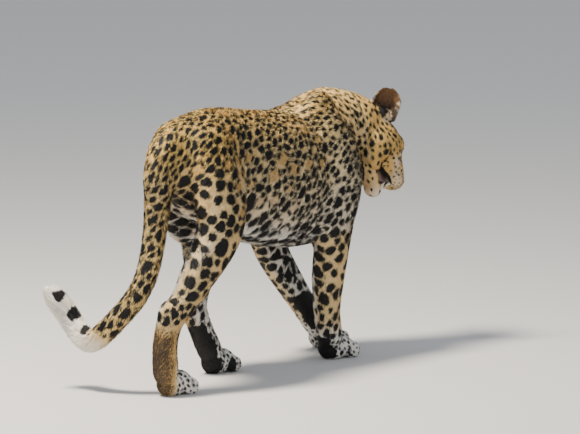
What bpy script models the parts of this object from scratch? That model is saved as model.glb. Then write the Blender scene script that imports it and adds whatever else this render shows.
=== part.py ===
"""A leopard at a slow walk, head lowered and turned to its right, as a still life-size model.

The animal is built in a body frame: +X towards the head, +Y to its left, +Z up, floor at zero.
Smooth forms for the trunk, neck, legs, tail and head are fused into one body, which gets its
sockets, nostrils and teeth and is then parted by thin cuts. Ears, eyes and tongue are set in.
"""
import bpy
import bmesh
import math
import numpy as np
from mathutils import Matrix, Vector

# Driving sizes, in metres and degrees
GAP = 0.0003
VOXEL = 0.0030
BROAD_SMOOTHING = 180
FINE_SMOOTHING = 4
BODY_TRIANGLES = 8000
LIMB_SMOOTHNESS = 0.24
HEAD_SMOOTHNESS = 0.09
SOLE_HEIGHT = 0.05
EYE_RADIUS = 0.0142
LID_THICKNESS = 0.0034
EYE_SIGHT = Vector((0.80, 0.57, 0.10))
SLIT_DEPTH = 0.013
EAR_LENGTH = 0.070
EAR_HALF_WIDTH = 0.035
EAR_THICKNESS = 0.0036
JAW_OPEN = 10.0
TOOTH_LENGTH = 0.021
TOOTH_RADIUS = 0.0054
TOOTH_TIP = 0.0010

# The head's own frame has its origin between the ears, the nose along +X and the crown along +Z
HEAD_PLACE = Vector((0.356, -0.052, 0.537))
HEAD_YAW = -18.0
HEAD_ROLL = -10.0
HEAD_PITCH = 60.0


def clear_scene():
    for thing in list(bpy.data.objects):
        bpy.data.objects.remove(thing)


def smooth_rows(rows, steps):
    """More rows through the given ones, on a Catmull-Rom curve in every column."""
    rows = np.array(rows, float)
    padded = np.vstack([2 * rows[0] - rows[1], rows, 2 * rows[-1] - rows[-2]])
    out = []
    for i in range(len(rows) - 1):
        a, b, c, d = padded[i : i + 4]
        for t in np.linspace(0, 1, steps, endpoint=False):
            out.append(
                0.5 * (2 * b + (c - a) * t + (2 * a - 5 * b + 4 * c - d) * t**2
                       + (3 * b - a - 3 * c + d) * t**3)
            )
    out.append(rows[-1])
    return np.array(out)


def tube(bm, rows, across, place=Matrix.Identity(4), steps=4, sides=28, square=2.0):
    """A closed loft. A row is (x, y, z, upper half, lower half, side half) of one section.

    The halves that are named upper and lower lie along the vector across, made square to the path.
    """
    rows = smooth_rows(rows, steps)
    centres = rows[:, :3]
    halves = rows[:, 3:]
    tangents = np.gradient(centres, axis=0)
    tangents /= np.linalg.norm(tangents, axis=1)[:, None]

    def ring(centre, tangent, half, shrink):
        up = np.array(across) - np.dot(across, tangent) * tangent
        up /= np.linalg.norm(up)
        side = np.cross(tangent, up)
        points = []
        for k in range(sides):
            angle = 2 * math.pi * k / sides
            c, s = math.cos(angle), math.sin(angle)
            c, s = (math.copysign(abs(v) ** (2 / square), v) for v in (c, s))
            reach = half[0] if c > 0 else half[1]
            points.append(centre + shrink * (up * reach * c + side * half[2] * s))
        return points

    def dome(index, outward):
        half = halves[index]
        depth = min(half)
        return [
            ring(centres[index] + outward * tangents[index] * depth * math.sin(a),
                 tangents[index], half, math.cos(a))
            for a in (math.radians(65), math.radians(35))
        ], centres[index] + outward * tangents[index] * depth

    start, start_pole = dome(0, -1)
    end, end_pole = dome(len(rows) - 1, 1)
    rings = start + [ring(c, t, h, 1.0) for c, t, h in zip(centres, tangents, halves)] + end[::-1]
    verts = [[bm.verts.new(place @ Vector(p)) for p in points] for points in rings]
    for low, high in zip(verts[:-1], verts[1:]):
        for k in range(sides):
            n = (k + 1) % sides
            bm.faces.new((low[k], low[n], high[n], high[k]))
    for loop, pole, flip in ((verts[0], start_pole, True), (verts[-1], end_pole, False)):
        tip = bm.verts.new(place @ Vector(pole))
        for k in range(sides):
            n = (k + 1) % sides
            bm.faces.new((loop[n], loop[k], tip) if flip else (loop[k], loop[n], tip))


def ball(bm, centre, halves, turn=(0, 0, 0), place=Matrix.Identity(4)):
    """An ellipsoid with its half sizes along axes turned by three angles in degrees."""
    turned = Matrix.Rotation(math.radians(turn[2]), 4, "Z")
    turned = turned @ Matrix.Rotation(math.radians(turn[1]), 4, "Y")
    turned = turned @ Matrix.Rotation(math.radians(turn[0]), 4, "X")
    matrix = place @ Matrix.Translation(centre) @ turned @ Matrix.Diagonal((*halves, 1))
    bmesh.ops.create_uvsphere(bm, u_segments=20, v_segments=12, radius=1.0, matrix=matrix)


def new_object(name, bm, collection):
    bmesh.ops.recalc_face_normals(bm, faces=bm.faces)
    mesh = bpy.data.meshes.new(name)
    bm.to_mesh(mesh)
    bm.free()
    thing = bpy.data.objects.new(name, mesh)
    collection.objects.link(thing)
    return thing


def apply_modifiers(thing):
    graph = bpy.context.evaluated_depsgraph_get()
    mesh = bpy.data.meshes.new_from_object(thing.evaluated_get(graph))
    thing.modifiers.clear()
    thing.data = mesh
    return thing


def rise(value, low, high):
    """Nought at low, one at high and even between."""
    return min(1.0, max(0.0, (value - low) / (high - low)))


def nearness_to_head(place):
    """One at the head and nought from the neck back, for a place in the body frame."""
    if place.x < 0.25 or place.z < 0.33:
        return 0.0
    ahead = (head_matrix().inverted() @ place).x
    return rise(ahead, -0.06, -0.01)


def fuse(thing):
    """Makes overlapping forms one smooth skin. The trunk and limbs are smoothed more than the
    head and paws, which keep their small forms, and the head keeps the finest mesh."""
    remesh = thing.modifiers.new("fuse", "REMESH")
    remesh.mode = "VOXEL"
    remesh.voxel_size = VOXEL
    apply_modifiers(thing)
    broad = thing.vertex_groups.new(name="broad")
    coarse = thing.vertex_groups.new(name="coarse")
    for vert in thing.data.vertices:
        head = nearness_to_head(vert.co)
        trunk_part = rise(vert.co.z, 0.26, 0.38) * rise(vert.co.x, -0.50, -0.42)
        paw_part = 1 - rise(vert.co.z, SOLE_HEIGHT, SOLE_HEIGHT + 0.04)
        body = (LIMB_SMOOTHNESS + (1 - LIMB_SMOOTHNESS) * trunk_part) * (1 - 0.85 * paw_part)
        broad.add((vert.index,), body * (1 - head) + HEAD_SMOOTHNESS * head, "REPLACE")
        coarse.add((vert.index,), 1 - 0.5 * head, "REPLACE")
    for group, count in (("broad", BROAD_SMOOTHING), ("", FINE_SMOOTHING)):
        soften = thing.modifiers.new("soften", "SMOOTH")
        soften.factor = 0.5
        soften.iterations = count
        soften.vertex_group = group
    step = thing.modifiers.new("reduce", "DECIMATE")
    step.ratio = BODY_TRIANGLES / (2 * len(thing.data.vertices))
    step.vertex_group = "coarse"
    step.vertex_group_factor = 0.01
    step.use_collapse_triangulate = True
    apply_modifiers(thing)
    thing.vertex_groups.clear()
    return thing


def boolean(thing, cutter, operation):
    """Joins or cuts with one other object, which is removed."""
    step = thing.modifiers.new(operation.lower(), "BOOLEAN")
    step.operation = operation
    step.solver = "EXACT"
    step.object = cutter
    apply_modifiers(thing)
    bpy.data.objects.remove(cutter)
    return thing


def copy_of(thing, swell=0.0):
    """A copy, with its faces moved out by a distance."""
    copy = thing.copy()
    copy.data = thing.data.copy()
    thing.users_collection[0].objects.link(copy)
    if swell:
        step = copy.modifiers.new("swell", "DISPLACE")
        step.strength = swell
        step.mid_level = 0.0
        apply_modifiers(copy)
    return copy


def loose_parts(thing):
    """The closed pieces of a mesh as objects, the largest first. The object itself is removed."""
    bm = bmesh.new()
    bm.from_mesh(thing.data)
    left = set(bm.verts)
    pieces = []
    while left:
        group = [left.pop()]
        for vert in group:
            for edge in vert.link_edges:
                other = edge.other_vert(vert)
                if other in left:
                    left.remove(other)
                    group.append(other)
        order = {vert: i for i, vert in enumerate(group)}
        part = bmesh.new()
        verts = [part.verts.new(vert.co) for vert in group]
        for face in {f for vert in group for f in vert.link_faces}:
            part.faces.new([verts[order[vert]] for vert in face.verts])
        pieces.append((part.calc_volume(), part))
    bm.free()
    collection = thing.users_collection[0]
    bpy.data.objects.remove(thing)
    pieces.sort(key=lambda piece: -piece[0])
    return [new_object("piece", part, collection) for volume, part in pieces]


def largest_part(thing, name):
    first, *rest = loose_parts(thing)
    for scrap in rest:
        bpy.data.objects.remove(scrap)
    first.name = name
    return first


def slab(bm, centre, normal, radius):
    """A thin disc, which parts what it goes through."""
    turn = Vector(normal).to_track_quat("Z", "Y").to_matrix().to_4x4()
    bmesh.ops.create_cone(
        bm, cap_ends=True, segments=24, radius1=radius, radius2=radius, depth=GAP,
        matrix=Matrix.Translation(centre) @ turn,
    )


# Trunk: rump, loin, belly, ribs and breast, as (x, top, bottom, half width)

TRUNK = (
    (-0.430, 0.590, 0.500, 0.040),
    (-0.385, 0.620, 0.450, 0.060),
    (-0.310, 0.645, 0.400, 0.080),
    (-0.220, 0.646, 0.360, 0.090),
    (-0.120, 0.631, 0.322, 0.102),
    (-0.020, 0.619, 0.297, 0.114),
    (0.080, 0.608, 0.280, 0.114),
    (0.160, 0.622, 0.280, 0.104),
    (0.215, 0.628, 0.330, 0.086),
    (0.242, 0.618, 0.400, 0.062),
)


def trunk(bm):
    rows = []
    for x, top, bottom, half in TRUNK:
        middle = bottom + 0.52 * (top - bottom)
        rows.append((x, 0, middle, top - middle, middle - bottom, half))
    tube(bm, rows, (0, 0, 1), square=2.15)
    for side in (-1, 1):
        ball(bm, (-0.300, side * 0.046, 0.545), (0.098, 0.050, 0.076), (0, 20, 0))
        ball(bm, (-0.235, side * 0.040, 0.572), (0.080, 0.040, 0.060), (0, 10, 0))


NECK = (
    (0.120, 0.000, 0.520, 0.098, 0.150, 0.090),
    (0.190, -0.002, 0.540, 0.098, 0.135, 0.086),
    (0.245, -0.012, 0.556, 0.095, 0.105, 0.078),
    (0.290, -0.028, 0.558, 0.083, 0.088, 0.070),
    (0.325, -0.042, 0.552, 0.074, 0.076, 0.064),
    (0.350, -0.052, 0.542, 0.066, 0.066, 0.060),
)


def neck(bm):
    tube(bm, NECK, (0, 0, 1))


# Legs: a row is (x, y, z, front half, rear half, side half), from the trunk to the paw

FRONT_RIGHT = (
    (0.160, -0.070, 0.570, 0.062, 0.070, 0.034),
    (0.190, -0.088, 0.485, 0.072, 0.085, 0.042),
    (0.185, -0.094, 0.410, 0.070, 0.080, 0.043),
    (0.160, -0.094, 0.340, 0.060, 0.064, 0.041),
    (0.154, -0.086, 0.265, 0.050, 0.048, 0.041),
    (0.150, -0.080, 0.195, 0.043, 0.042, 0.038),
    (0.154, -0.075, 0.120, 0.034, 0.034, 0.032),
    (0.174, -0.070, 0.058, 0.032, 0.034, 0.032),
)
FRONT_LEFT = (
    (0.140, 0.070, 0.540, 0.062, 0.070, 0.034),
    (0.180, 0.088, 0.470, 0.070, 0.080, 0.042),
    (0.160, 0.096, 0.400, 0.064, 0.074, 0.042),
    (0.135, 0.095, 0.330, 0.054, 0.060, 0.040),
    (0.160, 0.085, 0.250, 0.046, 0.046, 0.038),
    (0.208, 0.073, 0.180, 0.040, 0.038, 0.035),
    (0.262, 0.061, 0.112, 0.033, 0.032, 0.031),
    (0.308, 0.054, 0.060, 0.031, 0.032, 0.031),
)
HIND_RIGHT = (
    (-0.315, -0.056, 0.555, 0.085, 0.080, 0.038),
    (-0.310, -0.076, 0.480, 0.090, 0.092, 0.046),
    (-0.318, -0.088, 0.400, 0.074, 0.088, 0.046),
    (-0.352, -0.088, 0.335, 0.064, 0.066, 0.043),
    (-0.402, -0.079, 0.275, 0.050, 0.048, 0.038),
    (-0.444, -0.068, 0.220, 0.041, 0.038, 0.032),
    (-0.490, -0.059, 0.175, 0.032, 0.032, 0.029),
    (-0.506, -0.055, 0.120, 0.029, 0.029, 0.029),
    (-0.500, -0.052, 0.055, 0.030, 0.030, 0.031),
)
HIND_LEFT = (
    (-0.300, 0.056, 0.555, 0.085, 0.080, 0.038),
    (-0.255, 0.076, 0.480, 0.088, 0.092, 0.046),
    (-0.205, 0.088, 0.405, 0.072, 0.086, 0.046),
    (-0.142, 0.088, 0.340, 0.060, 0.064, 0.043),
    (-0.158, 0.078, 0.270, 0.047, 0.046, 0.038),
    (-0.193, 0.068, 0.210, 0.037, 0.037, 0.032),
    (-0.214, 0.060, 0.162, 0.031, 0.032, 0.029),
    (-0.192, 0.054, 0.105, 0.028, 0.029, 0.029),
    (-0.164, 0.049, 0.055, 0.029, 0.030, 0.031),
)


def paw(bm, x, y, turn, long, wide):
    """Four rounded toes before a broad pad, with the toes' tops higher than the pad's."""
    place = Matrix.Translation((x, y, 0)) @ Matrix.Rotation(math.radians(turn), 4, "Z")
    ball(bm, (-0.012, 0, 0.026), (long * 0.36, wide * 0.46, 0.032), place=place)
    ball(bm, (0.012, 0, 0.030), (long * 0.30, wide * 0.44, 0.028), (0, 12, 0), place=place)
    for k in range(4):
        spread = (k - 1.5) / 1.5
        ahead = long * (0.36 if abs(spread) < 0.5 else 0.27)
        centre = (ahead, spread * wide * 0.36, 0.019)
        ball(bm, centre, (0.025, wide * 0.155, 0.021), (0, 10, 6 * spread), place=place)


def legs(bm):
    for rows in (FRONT_RIGHT, FRONT_LEFT, HIND_RIGHT, HIND_LEFT):
        tube(bm, rows, (1, 0, 0), steps=4, sides=24)
    paw(bm, 0.207, -0.067, -10, 0.112, 0.074)
    paw(bm, 0.345, 0.050, -6, 0.112, 0.074)
    paw(bm, -0.462, -0.052, -12, 0.108, 0.066)
    paw(bm, -0.135, 0.045, -8, 0.108, 0.066)
    # Shoulder blades, of which the right one stands above the back, and the elbows' points
    ball(bm, (0.150, -0.052, 0.575), (0.066, 0.034, 0.084), (0, 10, 0))
    ball(bm, (0.118, 0.050, 0.530), (0.062, 0.034, 0.084), (0, -10, 0))
    ball(bm, (0.114, -0.092, 0.345), (0.036, 0.028, 0.040))
    ball(bm, (0.102, 0.094, 0.340), (0.036, 0.028, 0.040))
    # Points of the hocks
    ball(bm, (-0.504, -0.059, 0.192), (0.024, 0.022, 0.036), (0, 14, 0))
    ball(bm, (-0.231, 0.063, 0.178), (0.024, 0.022, 0.036), (0, 36, 0))


TAIL = (
    (-0.360, 0.000, 0.590, 0.040, 0.040, 0.044),
    (-0.415, 0.000, 0.570, 0.040, 0.038, 0.042),
    (-0.452, 0.000, 0.525, 0.038, 0.037, 0.038),
    (-0.452, 0.000, 0.455, 0.035, 0.036, 0.035),
    (-0.462, 0.000, 0.390, 0.031, 0.031, 0.031),
    (-0.476, 0.001, 0.330, 0.029, 0.029, 0.029),
    (-0.496, 0.004, 0.275, 0.028, 0.028, 0.028),
    (-0.518, 0.020, 0.225, 0.028, 0.028, 0.028),
    (-0.537, 0.055, 0.178, 0.028, 0.028, 0.028),
    (-0.540, 0.092, 0.142, 0.028, 0.028, 0.028),
    (-0.536, 0.132, 0.118, 0.028, 0.028, 0.028),
    (-0.530, 0.166, 0.130, 0.028, 0.028, 0.028),
    (-0.533, 0.194, 0.166, 0.028, 0.028, 0.028),
    (-0.550, 0.212, 0.204, 0.028, 0.028, 0.028),
    (-0.563, 0.224, 0.226, 0.024, 0.024, 0.024),
)


def tail(bm):
    tube(bm, TAIL, (0.3, 0.1, 1), sides=20, steps=3)


def head_matrix():
    """From the head's own frame, nose along +X and crown along +Z, to the body frame."""
    turn = Matrix.Rotation(math.radians(HEAD_YAW), 4, "Z")
    turn = turn @ Matrix.Rotation(math.radians(HEAD_ROLL), 4, "X")
    turn = turn @ Matrix.Rotation(math.radians(HEAD_PITCH), 4, "Y")
    return Matrix.Translation(HEAD_PLACE) @ turn


# Skull with the upper jaw, as (x, top, bottom, half width) in the head's own frame
SKULL = (
    (-0.040, 0.030, -0.040, 0.044),
    (-0.015, 0.045, -0.052, 0.058),
    (0.015, 0.059, -0.056, 0.066),
    (0.045, 0.066, -0.055, 0.069),
    (0.070, 0.063, -0.047, 0.062),
    (0.092, 0.050, -0.036, 0.051),
    (0.113, 0.039, -0.031, 0.043),
    (0.134, 0.031, -0.030, 0.037),
    (0.147, 0.026, -0.028, 0.032),
)
LOWER_JAW = (
    (0.020, -0.008, -0.062, 0.050),
    (0.060, -0.014, -0.064, 0.045),
    (0.090, -0.025, -0.062, 0.036),
    (0.118, -0.029, -0.060, 0.028),
    (0.138, -0.030, -0.060, 0.025),
)
JAW_PIVOT = Vector((0.015, 0.0, -0.020))
EYE_PLACE = Vector((0.0865, 0.0340, 0.0220))


def jaw_matrix():
    turn = Matrix.Rotation(math.radians(JAW_OPEN), 4, "Y")
    return Matrix.Translation(JAW_PIVOT) @ turn @ Matrix.Translation(-JAW_PIVOT)


def eye_place(side):
    return Vector((EYE_PLACE.x, side * EYE_PLACE.y, EYE_PLACE.z))


def profile_rows(profile):
    rows = []
    for x, top, bottom, half in profile:
        middle = (top + bottom) / 2
        rows.append((x, 0, middle, top - middle, middle - bottom, half))
    return rows


def head_forms(bm, place):
    tube(bm, profile_rows(SKULL), (0, 0, 1), place, square=2.1)
    lids = EYE_RADIUS + LID_THICKNESS
    for side in (-1, 1):
        # Cheek, the corner of the mouth, cheekbone, brow, root of the ear, lids and whisker pad
        ball(bm, (0.032, side * 0.047, -0.016), (0.046, 0.027, 0.038), place=place)
        ball(bm, (0.050, side * 0.036, -0.042), (0.038, 0.022, 0.026), (0, 12, 0), place)
        ball(bm, (0.066, side * 0.046, 0.002), (0.036, 0.015, 0.016), (0, 8, -side * 26), place)
        ball(bm, (0.076, side * 0.030, 0.045), (0.024, 0.018, 0.012), (0, 26, 0), place)
        ball(bm, (-0.012, side * 0.040, 0.046), (0.028, 0.021, 0.020), place=place)
        ball(bm, eye_place(side), (lids, lids, lids), place=place)
        ball(bm, (0.135, side * 0.0215, -0.009), (0.028, 0.0220, 0.0210), (0, 3, 0), place)
    ball(bm, (0.120, 0, 0.025), (0.046, 0.017, 0.012), (0, 13, 0), place)
    ball(bm, (0.155, 0, 0.009), (0.011, 0.0185, 0.0145), place=place)


def jaw_forms(bm, place):
    tube(bm, profile_rows(LOWER_JAW), (0, 0, 1), place @ jaw_matrix(), square=2.2)
    ball(bm, (0.134, 0, -0.046), (0.022, 0.025, 0.019), (0, 10, 0), place @ jaw_matrix())


def ear(side, axis, facing):
    """A cupped ear, a shell that is open towards a side and narrows to a blunt, round tip."""
    axis = Vector(axis).normalized()
    facing = Vector(facing)
    facing = (facing - facing.dot(axis) * axis).normalized()
    across = axis.cross(facing)
    place = head_matrix()
    base = Vector((-0.008, side * 0.038, 0.042))
    bm = bmesh.new()
    layers = []
    for inset in (0.0, EAR_THICKNESS):
        rows = []
        for up in (-0.20, 0.0, 0.20, 0.40, 0.58, 0.74, 0.86, 0.94, 0.985):
            wide = max(0.0, (up - 0.30) / 0.70)
            half = EAR_HALF_WIDTH * (0.80 + 0.20 * min(1, up / 0.36)) * (1 - wide**2.6) ** 0.5
            deep = 0.75 * half + 0.004 * (1 - up)
            row = []
            for k in range(9):
                angle = math.radians(-90 + 22.5 * k)
                sideways = (half - inset * 0.8) * math.sin(angle)
                back = (deep - inset) * math.cos(angle) + 0.25 * inset
                lean = 0.012 * up * up
                place_here = base + axis * (EAR_LENGTH * up) + across * sideways
                row.append(place_here - facing * (back - 0.5 * EAR_HALF_WIDTH - lean))
            rows.append([bm.verts.new(place @ v) for v in row])
        layers.append(rows)
    outer, inner = layers
    for i in range(len(outer) - 1):
        for k in range(8):
            bm.faces.new((outer[i][k], outer[i][k + 1], outer[i + 1][k + 1], outer[i + 1][k]))
            bm.faces.new((inner[i][k], inner[i + 1][k], inner[i + 1][k + 1], inner[i][k + 1]))
        for k in (0, 8):
            bm.faces.new((outer[i][k], outer[i + 1][k], inner[i + 1][k], inner[i][k]))
    for i in (0, -1):
        for k in range(8):
            bm.faces.new((outer[i][k], outer[i][k + 1], inner[i][k + 1], inner[i][k]))
    return new_object("ear", bm, bpy.data.collections["leopard"])


def eye_openings(bm, place):
    """Sockets that hold the eyeballs, open between the lids along each line of sight."""
    for side in (-1, 1):
        sight = Vector((EYE_SIGHT.x, EYE_SIGHT.y * side, EYE_SIGHT.z)).normalized()
        turn = (0, 4, side * math.degrees(math.atan2(EYE_SIGHT.y, EYE_SIGHT.x)))
        ball(bm, eye_place(side) + sight * SLIT_DEPTH, (0.012, 0.0125, 0.0066), turn, place)


def eyeball(side, radius):
    bm = bmesh.new()
    ball(bm, head_matrix() @ eye_place(side), (radius, radius, radius))
    return new_object("eye", bm, bpy.data.collections["leopard"])


def nostrils(bm, place):
    for side in (-1, 1):
        ball(bm, (0.1650, side * 0.0095, 0.010), (0.007, 0.0034, 0.0042), (0, 0, side * 30), place)


def teeth(bm, place):
    """Four canines, rooted in the upper and lower jaw."""
    for side in (-1, 1):
        for frame, x, y, z, up in (
            (place, 0.141, 0.0180, -0.030, -1),
            (place @ jaw_matrix(), 0.136, 0.0150, -0.027, 1),
        ):
            turn = Matrix.Rotation(math.radians(-6), 4, "Y")
            if up < 0:
                turn = Matrix.Rotation(math.pi, 4, "X") @ turn
            bmesh.ops.create_cone(
                bm, cap_ends=True, segments=8, depth=TOOTH_LENGTH,
                radius1=TOOTH_RADIUS, radius2=TOOTH_TIP,
                matrix=frame @ Matrix.Translation((x, side * y, z)) @ turn,
            )


def tongue():
    bm = bmesh.new()
    place = head_matrix() @ jaw_matrix()
    ball(bm, (0.100, 0, -0.0235), (0.042, 0.0165, 0.0085), (0, 4, 0), place)
    return new_object("tongue", bm, bpy.data.collections["leopard"])


# Ears, as (name, side, direction of the tip, direction of the opening) in the head's own frame
EARS = (
    ("ear_right", -1, (-0.75, -0.06, 0.66), (-0.11, -0.93, -0.32)),
    ("ear_left", 1, (-0.66, 0.36, 0.66), (0.42, 0.90, 0.0)),
)
# The cuts that part the body, as (centre, direction, radius)
CUTS = (
    ((0.315, -0.038, 0.538), (1.000, -0.200, 0.100), 0.116),
    ((0.247, -0.014, 0.470), (0.970, -0.100, 0.200), 0.200),
    ((-0.456, 0.000, 0.455), (0.100, 0.000, 1.000), 0.045),
    ((-0.476, 0.001, 0.330), (0.240, 0.000, 0.970), 0.042),
    ((-0.524, 0.030, 0.208), (0.350, -0.520, 0.780), 0.042),
    ((-0.538, 0.112, 0.129), (0.000, 0.880, -0.470), 0.042),
    ((-0.531, 0.180, 0.148), (0.000, 0.620, 0.780), 0.042),
    ((0.155, -0.089, 0.298), (0.000, -0.500, -1.000), 0.074),
    ((0.135, 0.094, 0.325), (0.000, 0.620, -0.780), 0.085),
    ((0.160, -0.073, 0.092), (0.200, 0.000, -1.000), 0.055),
    ((0.280, 0.058, 0.092), (0.500, 0.000, -1.000), 0.055),
    ((-0.322, -0.088, 0.395), (0.000, -0.700, -0.710), 0.125),
    ((-0.161, 0.087, 0.330), (0.000, 0.700, -1.000), 0.096),
    ((-0.462, -0.064, 0.205), (0.750, 0.000, 0.660), 0.075),
    ((-0.205, 0.065, 0.190), (0.750, 0.000, 0.660), 0.070),
    ((-0.505, -0.053, 0.078), (0.000, 0.000, 1.000), 0.050),
    ((-0.178, 0.051, 0.078), (0.500, 0.000, -1.000), 0.050),
)
# A place well inside each piece that the cuts leave
SEEDS = {
    "head": (0.400, -0.080, 0.480),
    "neck": (0.280, -0.025, 0.550),
    "torso": (-0.080, 0.000, 0.470),
    "tail_1": (-0.463, 0.000, 0.390),
    "tail_2": (-0.497, 0.006, 0.270),
    "tail_3": (-0.538, 0.070, 0.165),
    "tail_4": (-0.536, 0.140, 0.120),
    "tail_5": (-0.545, 0.205, 0.190),
    "foreleg_right": (0.154, -0.082, 0.210),
    "foreleg_left": (0.195, 0.078, 0.210),
    "forepaw_right": (0.205, -0.068, 0.035),
    "forepaw_left": (0.335, 0.052, 0.035),
    "shank_right": (-0.370, -0.085, 0.310),
    "shank_left": (-0.170, 0.083, 0.270),
    "hock_right": (-0.500, -0.057, 0.140),
    "hock_left": (-0.205, 0.058, 0.130),
    "hindpaw_right": (-0.470, -0.051, 0.035),
    "hindpaw_left": (-0.145, 0.047, 0.035),
}


def part_the_body(whole):
    bm = bmesh.new()
    for cut in CUTS:
        slab(bm, *cut)
    collection = whole.users_collection[0]
    pieces = loose_parts(boolean(whole, new_object("cuts", bm, collection), "DIFFERENCE"))
    for scrap in pieces[len(SEEDS):]:
        bpy.data.objects.remove(scrap)
    pieces = pieces[: len(SEEDS)]
    for name, seed in SEEDS.items():
        piece = min(pieces, key=lambda p: (centre_of(p) - Vector(seed)).length)
        piece.name = name
        pieces.remove(piece)


def centre_of(thing):
    corners = [vert.co for vert in thing.data.vertices]
    low = Vector([min(c[i] for c in corners) for i in range(3)])
    high = Vector([max(c[i] for c in corners) for i in range(3)])
    return (low + high) / 2


def floor_block():
    """All below the floor, to cut the soles flat."""
    bm = bmesh.new()
    matrix = Matrix.Translation((0, 0, -0.05)) @ Matrix.Diagonal((2, 1, 0.1, 1))
    bmesh.ops.create_cube(bm, size=1.0, matrix=matrix)
    return new_object("below", bm, bpy.data.collections["leopard"])


def set_on_origin(parts):
    """Moves the origin under the middle of the whole, at the floor."""
    corners = [vert.co for thing in parts.objects for vert in thing.data.vertices]
    middle = Vector([(min(c[i] for c in corners) + max(c[i] for c in corners)) / 2 for i in (0, 1)])
    for thing in parts.objects:
        thing.data.transform(Matrix.Translation((-middle.x, -middle.y, 0)))


MATERIALS = {
    "coat": ((0.62, 0.42, 0.19, 1.0), 0.85),
    "eye": ((0.46, 0.34, 0.08, 1.0), 0.15),
    "tongue": ((0.62, 0.26, 0.25, 1.0), 0.55),
}


def paint(parts):
    made = {}
    for name, (colour, roughness) in MATERIALS.items():
        made[name] = bpy.data.materials.new(name)
        made[name].use_nodes = True
        shader = made[name].node_tree.nodes["Principled BSDF"]
        shader.inputs["Base Color"].default_value = colour
        shader.inputs["Roughness"].default_value = roughness
        shader.inputs["Metallic"].default_value = 0.0
    for thing in parts.objects:
        slot = thing.name.split("_")[0]
        thing.data.materials.clear()
        thing.data.materials.append(made[slot if slot in made else "coat"])
        for face in thing.data.polygons:
            face.use_smooth = True


def build():
    clear_scene()
    parts = bpy.data.collections.new("leopard")
    bpy.context.scene.collection.children.link(parts)
    place = head_matrix()
    bm = bmesh.new()
    trunk(bm)
    neck(bm)
    legs(bm)
    tail(bm)
    head_forms(bm, place)
    jaw_forms(bm, place)
    whole = fuse(new_object("whole", bm, parts))
    boolean(whole, floor_block(), "DIFFERENCE")
    bm = bmesh.new()
    eye_openings(bm, place)
    nostrils(bm, place)
    boolean(whole, new_object("openings", bm, parts), "DIFFERENCE")
    for side, name in ((-1, "eye_right"), (1, "eye_left")):
        boolean(whole, eyeball(side, EYE_RADIUS + GAP), "DIFFERENCE")
        eyeball(side, EYE_RADIUS).name = name
    bm = bmesh.new()
    teeth(bm, place)
    boolean(whole, new_object("teeth", bm, parts), "UNION")
    boolean(tongue(), copy_of(whole, 4 * GAP), "DIFFERENCE")
    largest_part(parts.objects["tongue"], "tongue")
    for name, side, axis, facing in EARS:
        piece = boolean(ear(side, axis, facing), copy_of(whole, GAP), "DIFFERENCE")
        largest_part(piece, name)
    part_the_body(whole)
    set_on_origin(parts)
    paint(parts)


build()
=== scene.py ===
import heapq
import math

import bmesh
import bpy
import numpy as np
from mathutils import Matrix, Vector
from mathutils.bvhtree import BVHTree
from mathutils.kdtree import KDTree


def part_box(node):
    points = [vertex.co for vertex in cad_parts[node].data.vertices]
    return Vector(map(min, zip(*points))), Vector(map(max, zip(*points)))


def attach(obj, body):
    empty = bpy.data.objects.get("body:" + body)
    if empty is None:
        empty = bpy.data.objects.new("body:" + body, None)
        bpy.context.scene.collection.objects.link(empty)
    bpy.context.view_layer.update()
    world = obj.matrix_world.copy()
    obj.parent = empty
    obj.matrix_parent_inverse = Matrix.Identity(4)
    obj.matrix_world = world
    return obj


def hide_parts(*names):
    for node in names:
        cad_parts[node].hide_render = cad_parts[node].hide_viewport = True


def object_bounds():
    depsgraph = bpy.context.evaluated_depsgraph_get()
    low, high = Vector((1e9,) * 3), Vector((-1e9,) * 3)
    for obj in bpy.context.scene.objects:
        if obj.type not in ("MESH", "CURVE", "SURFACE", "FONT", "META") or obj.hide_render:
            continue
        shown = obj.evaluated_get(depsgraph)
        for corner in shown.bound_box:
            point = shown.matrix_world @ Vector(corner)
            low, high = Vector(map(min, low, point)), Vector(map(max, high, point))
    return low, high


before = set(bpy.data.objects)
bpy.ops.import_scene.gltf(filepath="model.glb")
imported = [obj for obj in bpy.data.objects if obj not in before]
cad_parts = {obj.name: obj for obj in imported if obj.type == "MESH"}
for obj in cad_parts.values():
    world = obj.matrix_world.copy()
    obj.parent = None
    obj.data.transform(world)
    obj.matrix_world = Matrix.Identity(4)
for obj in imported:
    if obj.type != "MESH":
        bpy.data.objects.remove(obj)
cad_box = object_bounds()

# The place of the figure. The head hangs low, turned to its right and tipped well forward, and
# its eyeballs are hard pieces whose place is sure, so every place in the body frame, with +X
# ahead, +Y left and zero between the feet, is laid out from the right one.
HEAD_YAW = -18.0
HEAD_ROLL = -10.0
HEAD_PITCH = 60.0
HEAD_PLACE = Vector((0.356, -0.052, 0.537))
EYE_PLACE = Vector((0.0865, 0.0340, 0.0220))


def turn(degrees, axis):
    return Matrix.Rotation(math.radians(degrees), 4, axis)


def sided(place, side):
    """A place on the right side, -1, or the left, 1, from the left one's."""
    return place[0], side * place[1], place[2]


def middle(node):
    low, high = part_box(node)
    return (low + high) / 2


head_turn = turn(HEAD_YAW, "Z") @ turn(HEAD_ROLL, "X") @ turn(HEAD_PITCH, "Y")
head_in_body = Matrix.Translation(HEAD_PLACE) @ head_turn
right_eye = Vector(sided(EYE_PLACE, -1))
body = Matrix.Translation(middle("eye_right") - head_in_body @ right_eye)
head = body @ head_in_body

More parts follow.
